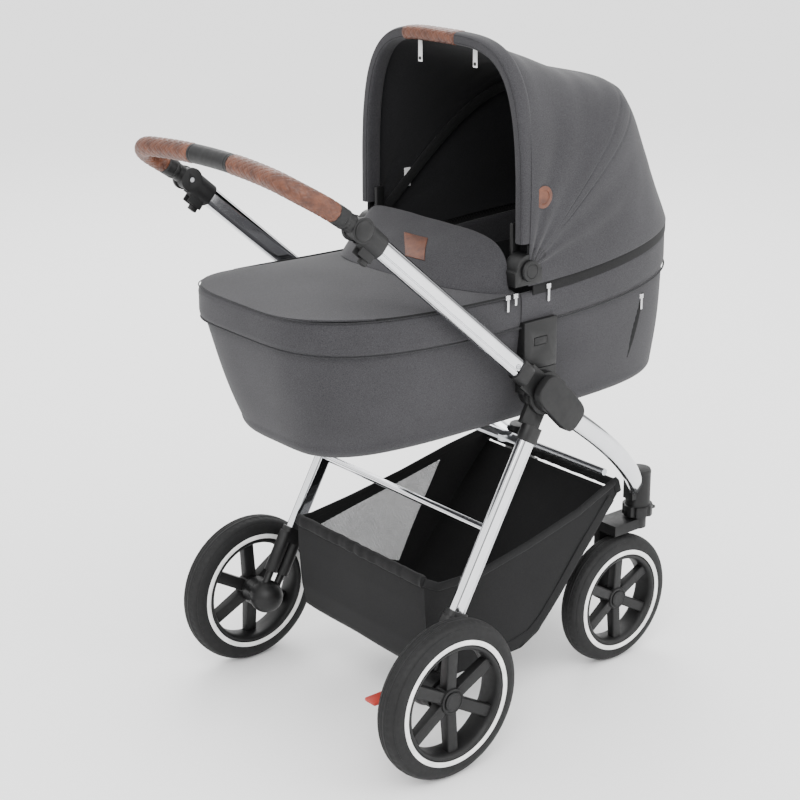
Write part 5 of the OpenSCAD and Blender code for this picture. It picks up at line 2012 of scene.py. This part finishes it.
@dataclass
class Basket:
    """The cloth basket: a trough from the rear flap to the front wall, with a netting window on the left."""

    half: float = 0.1805
    strap: ClassVar[tuple[Pair, ...]] = (
        (0.262, 0.336), (0.195, 0.268), (0.136, 0.200), (0.094, 0.150), (0.062, 0.126), (0.020, 0.118),
        (-0.040, 0.117),
    )
    spine: ClassVar[tuple[Pair, ...]] = (
        (-0.181, 0.300), (-0.180, 0.250), (-0.174, 0.170), (-0.166, 0.128), (-0.145, 0.109), (-0.115, 0.1045),
        (-0.02, 0.1042), (0.045, 0.1050), (0.085, 0.124), (0.112, 0.152), (0.160, 0.208), (0.220, 0.275),
        (0.280, 0.343),
    )
    brim: ClassVar[tuple[Pair, ...]] = (
        (0.280, 0.343), (0.274, 0.366), (0.180, 0.352), (0.060, 0.328), (-0.060, 0.308), (-0.150, 0.298),
        (-0.181, 0.300),
    )
    low_brim: ClassVar[tuple[Pair, ...]] = (
        (0.280, 0.343), (0.274, 0.366), (0.180, 0.330), (0.060, 0.301), (-0.060, 0.280), (-0.150, 0.283),
        (-0.181, 0.300),
    )
    window: ClassVar[tuple[Pair, ...]] = (
        (-0.136, 0.276), (0.158, 0.334), (0.055, 0.150), (-0.082, 0.206),
    )

    centre: ClassVar[Pair] = (-0.010, 0.240)

    @staticmethod
    def hit(outline: Sequence[Pair], centre: Pair, angle: float) -> Pair:
        """Where a ray from a centre meets an outline.

        Args:
            outline: Corners of a closed outline.
            centre: Where the ray starts.
            angle: Its direction.

        Returns:
            The furthest meeting point.
        """
        dx, dz = math.cos(angle), math.sin(angle)
        best = 0.0
        for (ax, az), (bx, bz) in zip(outline, [*outline[1:], outline[0]]):
            ex, ez = bx - ax, bz - az
            det = ex * dz - ez * dx
            if abs(det) < 1e-12:
                continue
            px, pz = ax - centre[0], az - centre[1]
            t = (ex * pz - ez * px) / det
            k = (dx * pz - dz * px) / det
            if t > best and -1e-6 <= k <= 1 + 1e-6:
                best = t
        return centre[0] + dx * best, centre[1] + dz * best

    def wall_y(self, x: float, z: float) -> float:
        """How far out a side wall hangs at a place."""
        sag = 0.0035 * math.sin(math.pi * min(max((z - 0.10) / 0.24, 0), 1))
        return self.half - 0.004 + sag * 0.8 + 0.0018 * noise.noise(Vector((x * 9, z * 12, 2.0)))

    def build(self) -> None:
        """Makes the trough, the side walls, the left wall's netting and the binding."""
        line = Path(Vector((x, 0, z)) for x, z in self.spine)

        def trough(u: float, v: float) -> Vector:
            spot = line.at(v)
            y = mix(-1, 1, u) * (self.half - 0.003)
            across = 1 - mix(-1, 1, u) ** 2
            heading = line.heading(v)
            normal = Vector((-heading.z, 0, heading.x))
            wave = noise.noise(Vector((spot.x * 8, y * 7, spot.z * 8)))
            sag = 0.004 * across * (1 if v > 0.5 else 0.4) + 0.0028 * wave * across
            return spot + Vector((0, y, 0)) - normal * sag

        walls = [Bench.grid("trough", 90, 150, trough)]
        centre = self.centre
        for side in Side:
            edge = self.brim if side is Side.LEFT else self.low_brim
            outline = [*self.spine, *edge[1:-1]]

            def wall(u: float, v: float) -> Vector:
                angle = math.tau * u
                inner = self.hit(self.window, centre, angle) if side is Side.LEFT else centre
                outer = self.hit(outline, centre, angle)
                x, z = mix(inner[0], outer[0], v), mix(inner[1], outer[1], v)
                return Vector((x, side.sign * self.wall_y(x, z), z))

            walls.append(Bench.grid("wall", 260, 14, wall))
            if side is Side.RIGHT:
                continue

            def net(u: float, v: float) -> Vector:
                inner = self.hit(self.window, centre, math.tau * u)
                x, z = mix(centre[0], inner[0], v * 1.02), mix(centre[1], inner[1], v * 1.02)
                return Vector((x, side.sign * (self.wall_y(x, z) - 0.0012), z))

            netting = Bench.grid(f"basket_net_{side.word}", 120, 8, net)
            layers = netting.data.uv_layers
            layer = layers[0] if layers else layers.new(name="metres")
            for loop in netting.data.loops:
                spot = netting.data.vertices[loop.vertex_index].co
                layer.data[loop.index].uv = (spot.x, spot.z)
            NETTING.complete(netting, 60, "front_frame")
        cloth = Bench.join("basket_cloth", walls)
        Bench.weld(cloth, 2e-4)
        Bench.thicken(cloth, 0.0026)
        BLACK_CLOTH.complete(cloth, 50, "front_frame", "basket")
        self.binding()
        log.info("basket")

    def binding(self) -> None:
        """Sews the brims' binding, the straps on the side walls and the rolls at both ends."""
        rolls = []
        above = Vector((0, 0, 1))
        for side in Side:
            edge = self.brim if side is Side.LEFT else self.low_brim
            brim = Path(Vector((x, side.sign * (self.wall_y(x, z)), z)) for x, z in edge)
            rolls.append(sweep("roll", brim, oval_section(0.0065, 0.0150, 2.4), 24, 120, above))
            tape = Path(Vector((x, side.sign * (self.wall_y(x, z) + 0.0012), z)) for x, z in self.strap)
            slant = Vector((0, side.sign, 0)).cross(Vector((0.7, 0, 0.7)))
            rolls.append(sweep("strap", tape, oval_section(0.0022, 0.020, 4), 20, 60, slant))
        for (x, z), radius in (((-0.180, 0.300), 0.0095), ((0.277, 0.358), 0.0075)):
            points = []
            for k in range(41):
                y = k / 20 - 1
                wave = 0.003 * noise.noise(Vector((y * 12, x, 0)))
                points.append(Vector((x + wave, y * (self.half - 0.004), z)))
            section = oval_section(radius * 1.5, radius * 2.3, 2.4)
            rolls.append(sweep("roll", Path(points), section, 28, 80, above))
        binding = Bench.join("basket_binding", rolls)
        BLACK_CLOTH.complete(binding, 60, "front_frame")


# ---------------------------------------------------------------- studio


@dataclass
class Studio:
    """A pale floor, soft lights and the camera."""

    eye: tuple[float, float, float] = (-1.978, -2.322, 1.603)
    target: tuple[float, float, float] = (-0.087, 0.0, 0.548)
    roll: float = -0.424
    lens: float = 82.6
    shift: Pair = (0.0012, 0.005)
    brightness: float = 2.3
    sky: ClassVar[tuple[Pair, ...]] = (
        (0.46, 0.85), (1.0, 1.0), (0.50, 0.16), (0.57, 0.20), (0.62, 1.0), (0.72, 0.95), (0.76, 0.45),
        (0.82, 1.0),
    )

    def floor(self) -> None:
        """Lays the floor."""
        Bench.clear()
        bpy.ops.mesh.primitive_plane_add(size=40, location=(0, 0, -0.0002))
        floor = bpy.context.active_object
        floor.name = "floor"
        shader = Shader("floor")
        tone = shader.noise((0.8, 0.8, 0.8), 2.0)
        ramp = shader.ramp(tone, [(0.3, (0.97, 0.97, 0.97)), (0.7, (0.98, 0.98, 0.98))])
        shader.link(ramp, "Color", shader.surface, "Base Color")
        shader.constant(Roughness=0.9, Specular_IOR_Level=0.1)
        floor.data.materials.append(shader.material)

    def world(self) -> None:
        """Lights the surroundings, with darker bands that the chrome mirrors."""
        world = bpy.data.worlds.new("studio")
        world.use_nodes = True
        tree = world.node_tree
        background = tree.nodes["Background"]
        background.inputs["Strength"].default_value = self.brightness
        coordinates = tree.nodes.new("ShaderNodeTexCoord")
        split = tree.nodes.new("ShaderNodeSeparateXYZ")
        ramp = tree.nodes.new("ShaderNodeValToRGB")
        height = tree.nodes.new("ShaderNodeMapRange")
        height.inputs["From Min"].default_value = -1.0
        tree.links.new(coordinates.outputs["Generated"], split.inputs["Vector"])
        tree.links.new(split.outputs["Z"], height.inputs["Value"])
        tree.links.new(height.outputs["Result"], ramp.inputs["Fac"])
        tree.links.new(ramp.outputs["Color"], background.inputs["Color"])
        elements = ramp.color_ramp.elements
        for element, (place, tone) in zip([elements[0], elements[1]], self.sky):
            element.position, element.color = place, (tone, tone, tone, 1)
        for place, tone in self.sky[2:]:
            elements.new(place).color = (tone, tone, tone, 1)
        bpy.context.scene.world = world

    def light(self, name: str, spot: Sequence[float], size: float, power: float) -> None:
        """Adds a soft light that faces the stroller.

        Args:
            name: The light's name.
            spot: Its place.
            size: Its side's length.
            power: Its power in watts.
        """
        Bench.clear()
        bpy.ops.object.light_add(type="AREA", location=spot)
        light = bpy.context.active_object
        light.name = name
        light.data.size = size
        light.data.energy = power
        light.rotation_euler = (Vector(self.target) - Vector(spot)).to_track_quat("-Z", "Y").to_euler()

    def camera(self) -> None:
        """Sets the camera."""
        Bench.clear()
        bpy.ops.object.camera_add(location=self.eye)
        camera = bpy.context.active_object
        heading = (Vector(self.target) - Vector(self.eye)).to_track_quat("-Z", "Y").to_matrix().to_4x4()
        turned = heading @ Matrix.Rotation(math.radians(self.roll), 4, "Z")
        camera.matrix_world = Matrix.Translation(self.eye) @ turned
        camera.data.lens = self.lens
        camera.data.shift_x, camera.data.shift_y = self.shift
        bpy.context.scene.camera = camera

    def build(self) -> None:
        """Sets the whole stage."""
        self.floor()
        self.world()
        self.light("key", (-2.6, -2.6, 3.6), 2.6, 120)
        self.light("fill", (1.6, -3.2, 2.0), 2.4, 55)
        self.light("rim", (1.8, 2.8, 3.0), 2.2, 70)
        self.camera()


def main() -> None:
    """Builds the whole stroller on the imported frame."""
    logging.basicConfig(level=logging.INFO)
    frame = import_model()
    layout = Layout.read(frame)
    Chassis(layout).build(frame["nodes"])
    PushBar(layout).build()
    for side in Side:
        rear, front = layout.rear_axle.copy(), layout.front_axle.copy()
        rear.y *= side.sign
        front.y *= side.sign
        Wheel(f"rear_{side.word}", side, f"rear_wheel_{side.letter}", rear, 0.140, 0.048).build()
        Wheel(f"front_{side.word}", side, f"front_wheel_{side.letter}", front, 0.123, 0.044, 0.036).build()
    Cot(layout).build()
    Canopy(layout).build()
    Basket().build()
    Studio().build()


if __name__ == "__main__":
    main()
